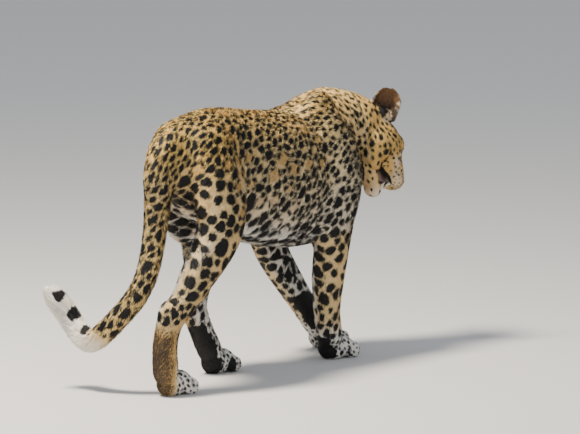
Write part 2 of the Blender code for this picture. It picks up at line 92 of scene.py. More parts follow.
# The camera stands far off behind the right side and a little above, with a long lens. One
# sole is known by sight: the right forefoot's, and it sets where the camera stands.
VIEW_TURN = math.radians(33.0)
VIEW_DROP = math.radians(7.5)
CAMERA_DISTANCE = 14.0
PIXELS_PER_METRE = 415.0
PICTURE_WIDTH = 580
PICTURE_HEIGHT = 434
SENSOR_WIDTH = 36.0
FARTHEST_SEEN = 200.0
FOREFOOT = body @ Vector((0.215, -0.065, 0.0))
FOREFOOT_PIXEL = (337, 357)


def aimed(name, data, place, toward):
    """A camera or lamp at a place, turned along a direction."""
    thing = bpy.data.objects.new(name, data)
    thing.location = place
    thing.rotation_mode = "QUATERNION"
    thing.rotation_quaternion = toward.to_track_quat("-Z", "Y")
    bpy.context.scene.collection.objects.link(thing)
    return thing


sight = Vector((
    math.cos(VIEW_TURN) * math.cos(VIEW_DROP),
    math.sin(VIEW_TURN) * math.cos(VIEW_DROP),
    -math.sin(VIEW_DROP),
))
rightward = Vector((math.sin(VIEW_TURN), -math.cos(VIEW_TURN), 0.0))
upward = rightward.cross(sight)
focal_pixels = PIXELS_PER_METRE * CAMERA_DISTANCE
ray = sight + rightward * (FOREFOOT_PIXEL[0] - PICTURE_WIDTH / 2) / focal_pixels
ray += upward * (PICTURE_HEIGHT / 2 - FOREFOOT_PIXEL[1]) / focal_pixels
camera_data = bpy.data.cameras.new("camera")
camera_data.sensor_width = SENSOR_WIDTH
camera_data.lens = SENSOR_WIDTH * focal_pixels / PICTURE_WIDTH
camera_data.clip_end = FARTHEST_SEEN
bpy.context.scene.camera = aimed("camera", camera_data, FOREFOOT - ray * CAMERA_DISTANCE, sight)

# The studio. A pale floor runs to the horizon under a soft sky, with a large soft lamp high
# up on the left and a weak one low on the camera's side.
FLOOR_SIZE = 120.0
FLOOR_COLOUR = (0.62, 0.59, 0.55, 1.0)
SKY_COLOUR = (0.80, 0.88, 1.0, 1.0)
SKY_STRENGTH = 0.72


def plain_material(name, colour, roughness):
    """A material with its shader's plain values set, and the shader itself."""
    material = bpy.data.materials.new(name)
    material.use_nodes = True
    shader = material.node_tree.nodes["Principled BSDF"]
    shader.inputs["Base Color"].default_value = colour
    shader.inputs["Roughness"].default_value = roughness
    return material, shader


def mesh_of(name, bm):
    mesh = bpy.data.meshes.new(name)
    bm.to_mesh(mesh)
    return mesh


def stand(name, mesh, material, smooth=True):
    """An object of the mesh in the scene, with the material on it."""
    mesh.materials.append(material)
    mesh.polygons.foreach_set("use_smooth", np.full(len(mesh.polygons), smooth))
    thing = bpy.data.objects.new(name, mesh)
    bpy.context.scene.collection.objects.link(thing)
    return thing


def soft_lamp(name, place, aim, size, power, colour):
    data = bpy.data.lights.new(name, "AREA")
    data.shape = "DISK"
    data.size = size
    data.energy = power
    data.color = colour
    aimed(name, data, place, Vector(aim) - Vector(place))


floor_bm = bmesh.new()
bmesh.ops.create_grid(floor_bm, x_segments=1, y_segments=1, size=FLOOR_SIZE / 2)
floor_material = plain_material("studio floor", FLOOR_COLOUR, 0.9)[0]
floor = stand("floor", mesh_of("floor", floor_bm), floor_material, smooth=False)

sky = bpy.data.worlds.new("sky")
sky.use_nodes = True
background = sky.node_tree.nodes["Background"]
background.inputs["Color"].default_value = SKY_COLOUR
background.inputs["Strength"].default_value = SKY_STRENGTH
bpy.context.scene.world = sky
soft_lamp("key lamp", (-1.4, 0.6, 3.4), (0, 0, 0.4), 0.8, 340.0, (1.0, 0.93, 0.82))
soft_lamp("fill lamp", (-3.0, -3.2, 1.6), (0, 0, 0.3), 2.5, 26.0, (0.92, 0.96, 1.0))

# The head's form. Under a leopard's face the skull is short and broad, the jaw muscles make
# round cheeks, and the whisker pads stand out beside a flat nose; the mouth hangs open a little.
SKULL = (
    (-0.040, 0.030, -0.040, 0.044),
    (-0.015, 0.045, -0.052, 0.058),
    (0.015, 0.059, -0.056, 0.066),
    (0.045, 0.066, -0.055, 0.069),
    (0.070, 0.063, -0.047, 0.062),
    (0.092, 0.050, -0.036, 0.051),
    (0.113, 0.039, -0.031, 0.043),
    (0.134, 0.031, -0.030, 0.037),
    (0.147, 0.026, -0.028, 0.032),
)
LOWER_JAW = (
    (0.020, -0.008, -0.062, 0.050),
    (0.060, -0.014, -0.064, 0.045),
    (0.090, -0.025, -0.062, 0.036),
    (0.118, -0.029, -0.060, 0.028),
    (0.138, -0.030, -0.060, 0.025),
)
NECK_END = (
    (0.245, -0.012, 0.556, 0.095, 0.105, 0.078),
    (0.290, -0.028, 0.558, 0.083, 0.088, 0.070),
    (0.325, -0.042, 0.552, 0.074, 0.076, 0.064),
    (0.350, -0.052, 0.542, 0.066, 0.066, 0.060),
)
JAW_OPEN = 10.0
JAW_PIVOT = Vector((0.015, 0.0, -0.020))
EYE_RADIUS = 0.0142
LID_THICKNESS = 0.0026
jaw = head @ Matrix.Translation(JAW_PIVOT) @ turn(JAW_OPEN, "Y") @ Matrix.Translation(-JAW_PIVOT)


def smooth_rows(rows, steps):
    """More rows through the given ones, on a Catmull-Rom curve in every column."""
    rows = np.array(rows, float)
    padded = np.vstack([2 * rows[0] - rows[1], rows, 2 * rows[-1] - rows[-2]])
    made = []
    for i in range(len(rows) - 1):
        a, b, c, d = padded[i : i + 4]
        for t in np.linspace(0, 1, steps, endpoint=False):
            bend = (2 * a - 5 * b + 4 * c - d) * t**2 + (3 * b - a - 3 * c + d) * t**3
            made.append(0.5 * (2 * b + (c - a) * t + bend))
    return np.array(made + [rows[-1]])


def loft(bm, place, rows, across, steps=6, sides=48, square=2.0):
    """A closed round form through rows of (x, y, z, upper half, lower half, side half)."""
    rows = smooth_rows(rows, steps)
    tangents = np.gradient(rows[:, :3], axis=0)
    tangents /= np.linalg.norm(tangents, axis=1)[:, None]
    stations = [(rows[0], tangents[0], -s, c) for s, c in ((0.91, 0.42), (0.57, 0.82))]
    stations += [(row, tangent, 0.0, 1.0) for row, tangent in zip(rows, tangents)]
    stations += [(rows[-1], tangents[-1], s, c) for s, c in ((0.57, 0.82), (0.91, 0.42))]
    loops = []
    for row, tangent, along, shrink in stations:
        up = np.array(across) - np.dot(across, tangent) * tangent
        up /= np.linalg.norm(up)
        side = np.cross(tangent, up)
        centre = row[:3] + tangent * along * min(row[3:])
        loop = []
        for angle in np.linspace(0, 2 * math.pi, sides, endpoint=False):
            c, s = (math.copysign(abs(v) ** (2 / square), v)
                    for v in (math.cos(angle), math.sin(angle)))
            point = centre + shrink * (up * (row[3] if c > 0 else row[4]) * c + side * row[5] * s)
            loop.append(bm.verts.new(place @ Vector(point)))
        loops.append(loop)
    for low, high in zip(loops[:-1], loops[1:]):
        for k in range(sides):
            n = (k + 1) % sides
            bm.faces.new((low[k], low[n], high[n], high[k]))
    bm.faces.new(loops[0][::-1])
    bm.faces.new(loops[-1])


def ball(bm, place, centre, halves, turns=(0, 0, 0)):
    """An ellipsoid, with turns about X, Y and Z in degrees."""
    turned = turn(turns[2], "Z") @ turn(turns[1], "Y") @ turn(turns[0], "X")
    matrix = place @ Matrix.Translation(centre) @ turned @ Matrix.Diagonal((*halves, 1))
    bmesh.ops.create_uvsphere(bm, u_segments=32, v_segments=20, radius=1.0, matrix=matrix)


def profile(rows):
    return [(x, 0, (t + b) / 2, (t - b) / 2, (t - b) / 2, half) for x, t, b, half in rows]


def add_head(bm):
    loft(bm, body, NECK_END, (0, 0, 1))
    loft(bm, head, profile(SKULL), (0, 0, 1), square=2.1)
    loft(bm, jaw, profile(LOWER_JAW), (0, 0, 1), square=2.2)
    ball(bm, jaw, (0.134, 0, -0.046), (0.022, 0.025, 0.019), (0, 10, 0))
    lids = EYE_RADIUS + LID_THICKNESS
    for side in (-1, 1):
        # Cheek, corner of the mouth, cheekbone, brow, root of the ear, lids and whisker pad
        ball(bm, head, (0.032, side * 0.047, -0.016), (0.046, 0.027, 0.038))
        ball(bm, head, (0.050, side * 0.036, -0.042), (0.038, 0.022, 0.026), (0, 12, 0))
        ball(bm, head, (0.066, side * 0.046, 0.002), (0.036, 0.015, 0.016), (0, 8, -side * 26))
        ball(bm, head, (0.076, side * 0.030, 0.045), (0.024, 0.018, 0.012), (0, 26, 0))
        ball(bm, head, (-0.012, side * 0.039, 0.041), (0.026, 0.020, 0.016))
        ball(bm, head, sided(EYE_PLACE, side), (lids, lids, lids))
        ball(bm, head, (0.135, side * 0.0215, -0.009), (0.028, 0.0220, 0.0210), (0, 3, 0))
    ball(bm, head, (0.120, 0, 0.025), (0.046, 0.017, 0.012), (0, 13, 0))
    ball(bm, head, (0.155, 0, 0.009), (0.011, 0.0185, 0.0145))


# The ears. They are short, round cups of skin on gristle, set wide on the crown and turned
# back to listen, so that the near one shows its hairy inside.
EAR_ROOT = (-0.008, 0.038, 0.042)
EAR_LENGTH = 0.070
EAR_HALF_WIDTH = 0.035
EAR_THICKNESS = 0.0050
EARS = (
    ("ear_right", -1, (-0.75, -0.06, 0.66), (-0.11, -0.93, -0.32)),
    ("ear_left", 1, (-0.66, 0.36, 0.66), (0.42, 0.90, 0.0)),
)
EAR_ROWS = 20
EAR_COLUMNS = 24


def ear_axes(axis, facing):
    """Unit vectors along the ear, out of its opening and across it, in the head's frame."""
    axis = Vector(axis).normalized()
    facing = Vector(facing)
    facing = (facing - facing.dot(axis) * axis).normalized()
    return axis, facing, axis.cross(facing)


def add_ear(bm, side, axis, facing):
    axis, facing, across = ear_axes(axis, facing)
    base = Vector(sided(EAR_ROOT, side))
    layers = []
    for inset in (0.0, EAR_THICKNESS):
        rows = []
        for step in np.linspace(0, 1, EAR_ROWS) ** 0.8:
            up = -0.20 + 1.185 * step
            wide = max(0.0, (up - 0.30) / 0.70)
            half = EAR_HALF_WIDTH * (0.80 + 0.20 * min(1, up / 0.36)) * (1 - wide**2.6) ** 0.5
            deep = 0.75 * half + 0.004 * (1 - up)
            row = []
            for angle in np.linspace(-math.pi / 2, math.pi / 2, EAR_COLUMNS):
                sideways = (half - inset * 0.8) * math.sin(angle)
                back = (deep - inset) * math.cos(angle) + 0.25 * inset
                lean = 0.012 * up * up
                point = base + axis * (EAR_LENGTH * up) + across * sideways
                point -= facing * (back - 0.5 * EAR_HALF_WIDTH - lean)
                row.append(bm.verts.new(head @ point))
            rows.append(row)
        layers.append(rows)
    outer, inner = layers
    for i in range(EAR_ROWS - 1):
        for k in range(EAR_COLUMNS - 1):
            bm.faces.new((outer[i][k], outer[i][k + 1], outer[i + 1][k + 1], outer[i + 1][k]))
            bm.faces.new((inner[i][k], inner[i + 1][k], inner[i + 1][k + 1], inner[i][k + 1]))
        for k in (0, EAR_COLUMNS - 1):
            bm.faces.new((outer[i][k], outer[i + 1][k], inner[i + 1][k], inner[i][k]))
    for i in (0, -1):
        for k in range(EAR_COLUMNS - 1):
            bm.faces.new((outer[i][k], outer[i][k + 1], inner[i][k + 1], inner[i][k]))


# The skin. One hide wraps the whole animal from the nose to the tip of the tail, drawn over
# the muscles; it lies under the hair tips by the depth of the coat at each place.
SKIN_VOXEL = 0.0019
SKIN_TRIANGLES = 420000
EAR_NODES = ("ear_right", "ear_left")
HEAD_NODES = ("head",) + EAR_NODES
TAIL_NODES = tuple("tail_%d" % k for k in range(1, 6))
PAW_NODES = ("forepaw_right", "forepaw_left", "hindpaw_right", "hindpaw_left")
SHANK_NODES = ("shank_right", "shank_left")
HOCK_NODES = ("hock_right", "hock_left")
FORELEG_NODES = ("foreleg_right", "foreleg_left") + PAW_NODES[:2]
HINDLEG_NODES = SHANK_NODES + HOCK_NODES + PAW_NODES[2:]
BODY_NODES = ("torso", "neck") + TAIL_NODES + FORELEG_NODES + HINDLEG_NODES
FLESH = HEAD_NODES + BODY_NODES


def ramp(values, low, high):
    """Nought at low, one at high, and smooth between."""
    t = np.clip((values - low) / (high - low), 0, 1)
    return t * t * (3 - 2 * t)


def fall(values, low, high):
    """One at low, nought at high."""
    return 1 - ramp(values, low, high)


def rows_of(data, what, columns=3, kind=np.float32):
    """One property of every vertex, edge or face, a row each."""
    flat = np.empty(len(data) * columns, kind)
    data.foreach_get(what, flat)
    return flat.reshape(-1, columns)


def into(place, points):
    """Points of the model, in the frame of a place."""
    matrix = np.array(place.inverted())
    return points @ matrix[:3, :3].T + matrix[:3, 3]


def apply_modifiers(thing):
    graph = bpy.context.evaluated_depsgraph_get()
    mesh = bpy.data.meshes.new_from_object(thing.evaluated_get(graph))
    thing.modifiers.clear()
    thing.data = mesh


def weigh(thing, name, weights):
    """A vertex group with the weights rounded to twentieths."""
    group = thing.vertex_groups.new(name=name)
    steps = np.round(weights * 20).astype(int)
    for step in np.unique(steps):
        group.add(np.flatnonzero(steps == step).tolist(), step / 20, "REPLACE")


skin_bm = bmesh.new()
for node in BODY_NODES:
    skin_bm.from_mesh(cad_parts[node].data)
bmesh.ops.remove_doubles(skin_bm, verts=skin_bm.verts, dist=1e-6)
add_head(skin_bm)
for _, side, axis, facing in EARS:
    add_ear(skin_bm, side, axis, facing)
skin = bpy.data.objects.new("skin", mesh_of("skin", skin_bm))
bpy.context.scene.collection.objects.link(skin)
fuse = skin.modifiers.new("fuse", "REMESH")
fuse.mode = "VOXEL"
fuse.voxel_size = SKIN_VOXEL
apply_modifiers(skin)

points = rows_of(skin.data.vertices, "co").astype(float)
in_head = into(head, points)
in_body = into(body, points)
ahead = ramp(in_head[:, 0], -0.075, -0.015) * (in_body[:, 0] > 0.25) * (in_body[:, 2] > 0.33)
above = ramp(in_body[:, 2], 0.20, 0.34) * ramp(in_body[:, 0], -0.50, -0.40)
soles = fall(in_body[:, 2], 0.04, 0.10)
ears_at = ramp(in_head[:, 2], 0.062, 0.075) * ahead
softness = (0.35 + 0.65 * above) * (1 - 0.9 * soles)
weigh(skin, "broad", softness * (1 - ahead) + 0.05 * ahead * (1 - ears_at))
weigh(skin, "coarse", 0.6 - 0.4 * np.maximum(ahead, 0.6 * soles))
for group, count in (("broad", 130), ("", 2)):
    soften = skin.modifiers.new("soften", "SMOOTH")
    soften.factor = 0.5
    soften.iterations = count
    soften.vertex_group = group
thin = skin.modifiers.new("thin", "DECIMATE")
thin.ratio = SKIN_TRIANGLES / (2 * len(points))
thin.vertex_group = "coarse"
thin.vertex_group_factor = 0.02
thin.use_collapse_triangulate = True
apply_modifiers(skin)
skin.vertex_groups.clear()


def unit(vectors):
    return vectors / np.maximum(np.linalg.norm(vectors, axis=-1, keepdims=True), 1e-9)


def spread(values, edges, rounds):
    """Each vertex's values averaged with its neighbours', a number of times."""
    count = len(values)
    near = np.maximum(np.bincount(edges.ravel(), minlength=count), 1)[:, None]
    columns = values.reshape(count, -1)
    for _ in range(rounds):
        total = np.stack([
            np.bincount(edges[:, 0], column[edges[:, 1]], count)
            + np.bincount(edges[:, 1], column[edges[:, 0]], count)
            for column in columns.T
        ], axis=1)
        columns = (columns + total / near) / 2
    return columns.reshape(values.shape)


def walk(mesh_points, edges, starts):
    """The way over the skin to each vertex from the nearest start."""
    lengths = np.linalg.norm(mesh_points[edges[:, 1]] - mesh_points[edges[:, 0]], axis=1)
    both = np.vstack([edges, edges[:, ::-1]])
    order = np.argsort(both[:, 0], kind="stable")
    ends = both[order, 1].tolist()
    steps = np.concatenate([lengths, lengths])[order].tolist()
    first = np.searchsorted(both[order, 0], np.arange(len(mesh_points) + 1)).tolist()
    far = [math.inf] * len(mesh_points)
    queue = [(0.0, int(v)) for v in starts]
    for _, v in queue:
        far[v] = 0.0
    while queue:
        way, v = heapq.heappop(queue)
        if way > far[v]:
            continue
        for k in range(first[v], first[v + 1]):
            longer = way + steps[k]
            if longer < far[ends[k]]:
                far[ends[k]] = longer
                heapq.heappush(queue, (longer, ends[k]))
    return np.array(far)


# Which named part of the body each place on the skin lies on
part_tree = KDTree(sum(len(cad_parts[n].data.polygons) for n in FLESH))
part_names = []
for k, node in enumerate(FLESH):
    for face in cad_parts[node].data.polygons:
        part_tree.insert(face.center, len(part_names))
        part_names.append(k)
part_tree.balance()
points = rows_of(skin.data.vertices, "co").astype(float)
normals = rows_of(skin.data.vertex_normals, "vector").astype(float)
edges = rows_of(skin.data.edges, "vertices", 2, np.int32)
part = np.array(part_names)[[part_tree.find(p)[1] for p in points.tolist()]]


def on(*nodes):
    """One on the named parts, nought elsewhere."""
    return np.isin(part, [FLESH.index(n) for n in nodes]).astype(float)


on_torso, on_neck, on_face = on("torso"), on("neck"), on("head")
on_head, on_ears, on_tail = on(*HEAD_NODES), on(*EAR_NODES), on(*TAIL_NODES)
on_paws, on_shanks = on(*PAW_NODES), on(*SHANK_NODES)

# How deep the coat is over the skin, from the thin hair of the face and feet to the fur of the
# flanks, belly and tail.
COAT_DEPTHS = (
    (0.0055, "torso", *TAIL_NODES),
    (0.0045, "neck"),
    (0.0012, "head"),
    (0.0004, *EAR_NODES),
    (0.0030, "foreleg_right", "foreleg_left", *SHANK_NODES),
    (0.0020, *HOCK_NODES),
    (0.0010, *PAW_NODES),
)
DEEPER_ON_CROWN = 0.0018
DEPTH_ROUNDS = 14
in_head = into(head, points)
in_body = into(body, points)
coat_depth = sum(depth * on(*nodes) for depth, *nodes in COAT_DEPTHS)
coat_depth += DEEPER_ON_CROWN * on_face * (in_head[:, 0] < 0.05)
coat_depth = spread(coat_depth, edges, DEPTH_ROUNDS)
points -= normals * coat_depth[:, None]
skin.data.vertices.foreach_set("co", points.astype(np.float32).ravel())
skin.data.update()

# Forms of the face that the skin alone shows: lids that hug the eyeballs and part over them,
# nostrils that turn outwards and the groove under the nose.
EYE_SIGHT = (0.80, 0.57, 0.10)
EYE_SLIT = 0.0122
EYE_GAPE = 0.0066
LOWER_GAPE = 0.85
LID_MARGIN = 0.0011
NOSTRIL = (0.1640, 0.0095, 0.0105)
NOSTRIL_DEPTH = 0.0065
GROOVE_DEPTH = 0.0022
LID_BLEND = 0.0085


def eye_axes(side):
    """Out of the eye, along the slit towards the nose, and up, in the head's frame."""
    out = Vector(sided(EYE_SIGHT, side)).normalized()
    along = Vector((0.62, -side * 0.80, -0.42))
    along = (along - along.dot(out) * out).normalized()
    return out, along, (along.cross(out) * side).normalized()


def about_eye(places, side):
    """Places in the head's frame, seen from an eye's middle: the way to each, how far it lies
    along the slit, up and out, where the lid's edge is there, and how far it lies beyond."""
    offset = places - np.array(sided(EYE_PLACE, side))
    out, along, up = (np.array(v) for v in eye_axes(side))
    a, b, c = offset @ along, offset @ up, offset @ out
    t = np.clip(np.abs(a) / EYE_SLIT, 0, 1)
    edge = EYE_GAPE * np.where(b > 0, 1.0, LOWER_GAPE) * (1 - t**2.2) ** 0.75
    away = np.hypot(np.maximum(np.abs(a) - EYE_SLIT, 0), np.maximum(np.abs(b) - edge, 0))
    return offset, a, b, c, edge, away


face_points = into(head, points)
for side in (-1, 1):
    offset, a, b, c, edge, away = about_eye(face_points, side)
    far = np.linalg.norm(offset, axis=1)
    close = (far < EYE_RADIUS * 1.8) & (c > 0)
    inside = close & (np.abs(a) < EYE_SLIT) & (np.abs(b) < edge)
    hug = np.where(close & ~inside, fall(away, 0.0005, LID_BLEND), 0)
    wanted = EYE_RADIUS + LID_MARGIN + 0.25 * away
    new_far = np.where(inside, EYE_RADIUS * 0.90, far + (wanted - far) * hug)
    moved = offset * (new_far / np.maximum(far, 1e-6))[:, None]
    moved += np.array(sided(EYE_PLACE, side))
    face_points = np.where((inside | (hug > 0))[:, None], moved, face_points)
    # Nostril, opening forwards and outwards
    offset = face_points - np.array(sided(NOSTRIL, side))
    reach = np.sqrt((offset[:, 0] / 0.010) ** 2 + (offset[:, 1] / 0.0044) ** 2
                    + ((offset[:, 2] + 0.35 * side * offset[:, 1]) / 0.0042) ** 2)
    face_points[:, 0] -= NOSTRIL_DEPTH * fall(reach, 0.3, 1.1)
# The groove that runs down from the nose and parts the whisker pads
hx, hy, hz = face_points.T
groove = fall(np.abs(hy), 0.0006, 0.0040) * ramp(hx, 0.146, 0.154)
groove *= fall(hz, 0.001, 0.008) * ramp(hz, -0.034, -0.020)
face_points[:, 0] -= GROOVE_DEPTH * groove
matrix = np.array(head)
points = face_points @ matrix[:3, :3].T + matrix[:3, 3]
skin.data.vertices.foreach_set("co", points.astype(np.float32).ravel())
skin.data.update()
normals = rows_of(skin.data.vertex_normals, "vector").astype(float)
face_normals = normals @ np.array(head.to_3x3())
in_head = into(head, points)
in_body = into(body, points)

# The lie of the coat. Hair points away from the nose over the head, neck and trunk, down the
# legs and along the tail, and leans down a little on the flanks and hips.
LIE_ROUNDS = 25
FLANK_LEAN = 0.45
HIP_LEAN = 0.35
chin = np.array(jaw @ Vector((0.156, 0, -0.042)))
nose = np.array(head @ Vector((0.166, 0, 0.012)))
starts = [int(np.argmin(np.linalg.norm(points - p, axis=1))) for p in (nose, chin)]
way = walk(points, edges, starts)
kept = np.isfinite(way)
way = np.where(kept, way, 0)
delta = points[edges[:, 1]] - points[edges[:, 0]]
slope = (way[edges[:, 1]] - way[edges[:, 0]]) / np.maximum((delta**2).sum(1), 1e-12)
pull = delta * slope[:, None]
lie = np.stack([np.bincount(edges.ravel(), np.repeat(pull[:, k], 2), len(points))
                for k in range(3)], axis=1)


def tangent(vectors, normals):
    return unit(vectors - normals * (vectors * normals).sum(1)[:, None])


lie = tangent(unit(lie), normals)
lie = tangent(spread(lie, edges, LIE_ROUNDS), normals)
downward = FLANK_LEAN * on_torso * ramp(in_body[:, 0], 0.28, 0.10)
downward += HIP_LEAN * on_torso * ramp(-in_body[:, 0], 0.15, 0.28)
lie[:, 2] -= spread(downward, edges, 30)
lie = tangent(spread(lie, edges, 4), normals)

# The markings. A leopard's coat is gold on the back, cream on the flanks and white beneath. It
# has small spots on the head, neck and shoulders, rings of blotches round a tawny middle on the
# flanks and hips, and solid black spots on the legs, belly and tail. Each row is a place in
# millimetres (x, distance from the midline, z), then how far apart the spots are across the lie,
# their half length and half width, and last the share of them that are rings.
BODY_SPOTS = (
    (80, 0, 630, 10.5, 10.1, 5.7, 0), (-120, 0, 640, 10.9, 10.8, 6.1, 0),
    (-280, 0, 650, 11.8, 12.7, 6.8, 0), (-400, 30, 600, 12.4, 15.4, 7.2, 0),
    (-330, 80, 600, 14.1, 15.4, 8.3, 0.15), (-240, 90, 580, 16.7, 14.8, 9.6, 0.8),
    (-100, 70, 600, 13.4, 12.9, 7.8, 0.15), (40, 70, 590, 13, 12.5, 7.5, 0.15),
    (-120, 110, 510, 17.1, 13.8, 10.1, 0.8), (-20, 110, 460, 17.1, 14.3, 10.1, 0.8),
    (70, 110, 480, 15, 12.6, 8.8, 0.6), (-40, 100, 360, 18.3, 16, 11.1, 0.5),
    (80, 100, 380, 16.3, 14.3, 9.8, 0.15), (160, 60, 640, 10.9, 9.8, 5.7, 0),
    (190, 110, 540, 13.8, 10.9, 7.6, 0), (200, 120, 460, 14.6, 12, 8.1, 0),
    (180, 130, 370, 16.3, 13.1, 9.1, 0), (270, 20, 630, 11.3, 7.1, 4.8, 0),
    (280, 80, 560, 12.9, 8.1, 5.5, 0), (280, 20, 450, 17.9, 10.9, 8.3, 0),
    (220, 0, 340, 21.7, 13.8, 10.5, 0), (-50, 0, 290, 27.5, 17.2, 13.5, 0),
    (-250, 20, 360, 28.3, 17.2, 13.5, 0), (-310, 120, 520, 22.1, 16, 12.8, 0.6),
    (-360, 120, 450, 25, 17.2, 14.8, 0.15), (-270, 130, 420, 25.9, 17.7, 15.6, 0.15),
    (-330, 110, 340, 25, 17.2, 14.8, 0), (-420, 80, 260, 22.1, 16, 12.8, 0),
    (-490, 60, 170, 18.3, 12.6, 10.1, 0), (-500, 50, 100, 12.5, 8.1, 6.1, 0),
    (-470, 50, 30, 9.6, 4.8, 3.9, 0), (-150, 110, 330, 25.9, 17.2, 15.2, 0),
    (-200, 70, 200, 20.5, 13.8, 11.2, 0), (-170, 50, 100, 12.9, 8.1, 6.1, 0),
    (-130, 50, 30, 10, 4.8, 3.9, 0), (150, 120, 290, 20.9, 14.8, 12.1, 0),
    (150, 80, 200, 20.9, 15.8, 12.1, 0), (160, 80, 110, 16.7, 14.3, 8.9, 0),
    (200, 70, 30, 10, 4.8, 3.9, 0), (220, 70, 170, 20, 14.8, 11, 0),
    (340, 50, 30, 10, 4.8, 3.9, 0),
)
HEAD_SPOTS = (
    (-20, 0, 60, 8.4, 4.4, 2.8, 0), (30, 30, 60, 8.2, 4.2, 2.7, 0),
    (80, 20, 55, 7, 3.4, 2.3, 0), (100, 35, 40, 7, 3.4, 2.4, 0),
    (40, 65, 20, 10.4, 6.1, 4.2, 0), (50, 60, -15, 12.3, 8.2, 5.5, 0),
    (0, 60, -20, 12.3, 7.8, 5.3, 0), (60, 45, -55, 12.8, 7.1, 5, 0),
    (20, 10, -80, 18.1, 9.2, 6.3, 0), (100, 30, 5, 9.1, 4.2, 2.9, 0),
    (130, 0, 30, 14.2, 1.1, 0.8, 0), (140, 35, -5, 5.9, 2.3, 1.7, 0),
    (120, 10, -65, 12, 4.6, 3.3, 0), (120, 30, -55, 17.1, 3.2, 2.3, 0),
)
TAIL_SPOTS = (0.0140, 0.0178, 0.0098, 0)
BODY_BLEND = 0.032
HEAD_BLEND = 0.016
SPOT_REACH = 0.0080
SPOT_GAP = 0.0023
SPOT_TURN = 0.30
SPOT_GROWTH = 0.18
RING_SPACING = 0.0400
RING_STRETCH = 1.35
RING_RADIUS = 0.0135
RING_BREADTH = 0.0062
rng = np.random.default_rng(11)


def blend_rows(places, rows, width):
    """The rows' sizes at each place, each row weighing more the nearer it is."""
    table = np.array(rows) / (1000, 1000, 1000, 1000, 1000, 1000, 1)
    mirrored = places * (1, 0, 1) + np.abs(places) * (0, 1, 0)
    weights = np.stack([np.exp(-((mirrored - row[:3]) ** 2).sum(1) / (2 * width**2))
                        for row in table], axis=1) + 1e-30
    return weights @ table[:, 3:] / weights.sum(1)[:, None]


size = blend_rows(in_body, BODY_SPOTS, BODY_BLEND)
size = np.where(on_head[:, None] > 0, blend_rows(in_head, HEAD_SPOTS, HEAD_BLEND), size)
size = np.where(on_tail[:, None] > 0, np.array(TAIL_SPOTS), size)
way_tip = way[on_tail > 0].max()

point_tree = KDTree(len(points))
for k, p in enumerate(points.tolist()):
    point_tree.insert(p, k)
point_tree.balance()
free = on_ears == 0


def near(k, reach, stretch):
    """The skin's vertices around one, within a reach that is longer along the lie."""
    taken = np.array([i for _, i, _ in point_tree.find_range(points[k], reach * stretch)])
    offset = points[taken] - points[k]
    along = offset @ lie[k]
    return taken[(along / stretch) ** 2 + (offset**2).sum(1) - along**2 < reach**2]


# Rings take their places first and the solid spots fill the ground that is left
ring_rows, spot_rows = [], []
open_to_rings = free & (size[:, 3] > 0)
for k in rng.permutation(len(points)):
    if open_to_rings[k]:
        open_to_rings[near(k, RING_SPACING, RING_STRETCH)] = False
        if rng.random() < size[k, 3]:
            ring_rows.append(k)
            free[near(k, RING_RADIUS + RING_BREADTH + 0.6 * size[k, 2], RING_STRETCH)] = False
for k in rng.permutation(len(points)):
    if free[k]:
        free[near(k, size[k, 0], (size[k, 1] / size[k, 2]) ** 0.8)] = False
        spot_rows.append(k)

black = np.full(len(points), SPOT_REACH)
next_black = black.copy()
tawny = np.zeros(len(points))


def stamp(centre, normal, along, long, wide, wobble, ring=False):
    """Marks one blotch or tawny middle on the vertices near it, with an uneven edge."""
    reach = long * 1.3 + SPOT_REACH
    found = np.array([i for _, i, _ in point_tree.find_range(centre, reach)], int)
    found = found[normals[found] @ normal > 0.15]
    across = np.cross(normal, along)
    offset = points[found] - centre
    u, v = offset @ along / long, offset @ across / wide
    angle = np.arctan2(v, u)
    edge = 1 + 0.08 * np.sin(2 * angle + wobble) + 0.07 * np.sin(3 * angle + 2.3 * wobble)
    far = (np.hypot(u, v) / edge - 1) * wide
    if ring:
        tawny[found] = np.maximum(tawny[found], fall(far, -0.003, 0.002))
    else:
        next_black[found] = np.minimum(next_black[found], np.maximum(black[found], far))
        black[found] = np.minimum(black[found], far)


for place, k in enumerate(ring_rows + spot_rows):
    _, long, wide, _ = size[k]
    turned = rng.normal(0, SPOT_TURN)
    across = np.cross(normals[k], lie[k])
    along = lie[k] * math.cos(turned) + across * math.sin(turned)
    across = np.cross(normals[k], along)
    grown = math.exp(rng.normal(0, SPOT_GROWTH))
    wobble = rng.uniform(0, 2 * math.pi)
    if place >= len(ring_rows):
        longer = long * grown * math.exp(rng.normal(0, 0.12))
        stamp(points[k], normals[k], along, longer, wide * grown, wobble)
        continue
    radius = RING_RADIUS * (0.7 + 0.3 * grown)
    stamp(points[k], normals[k], along, radius * RING_STRETCH, radius, wobble, ring=True)
    # The ring's blotches, four or five of them, often with one left out
    count = int(rng.integers(4, 6))
    skipped = int(rng.integers(0, count + 6))
    for n in range(count):
        angle = 2 * math.pi * (n + rng.uniform(-0.14, 0.14)) / count + wobble
        if n == skipped:
            continue
        out = along * math.cos(angle) * RING_STRETCH + across * math.sin(angle)
        around = unit(across * math.cos(angle) - along * math.sin(angle) * RING_STRETCH)
        blotch = radius * math.pi / count * rng.uniform(1.0, 1.35)
        breadth = RING_BREADTH * rng.uniform(0.85, 1.2)
        stamp(points[k] + out * radius, normals[k], around, blotch, breadth, rng.uniform(0, 6.3))
# Neighbouring blotches stay apart by a pale line
black = np.maximum(black, (black - next_black + SPOT_GAP) / 2)

WAVES = ((0.3, 0.9, 0.2), (-0.8, 0.3, 0.5), (0.5, -0.4, 0.8), (0.9, 0.6, -0.5))


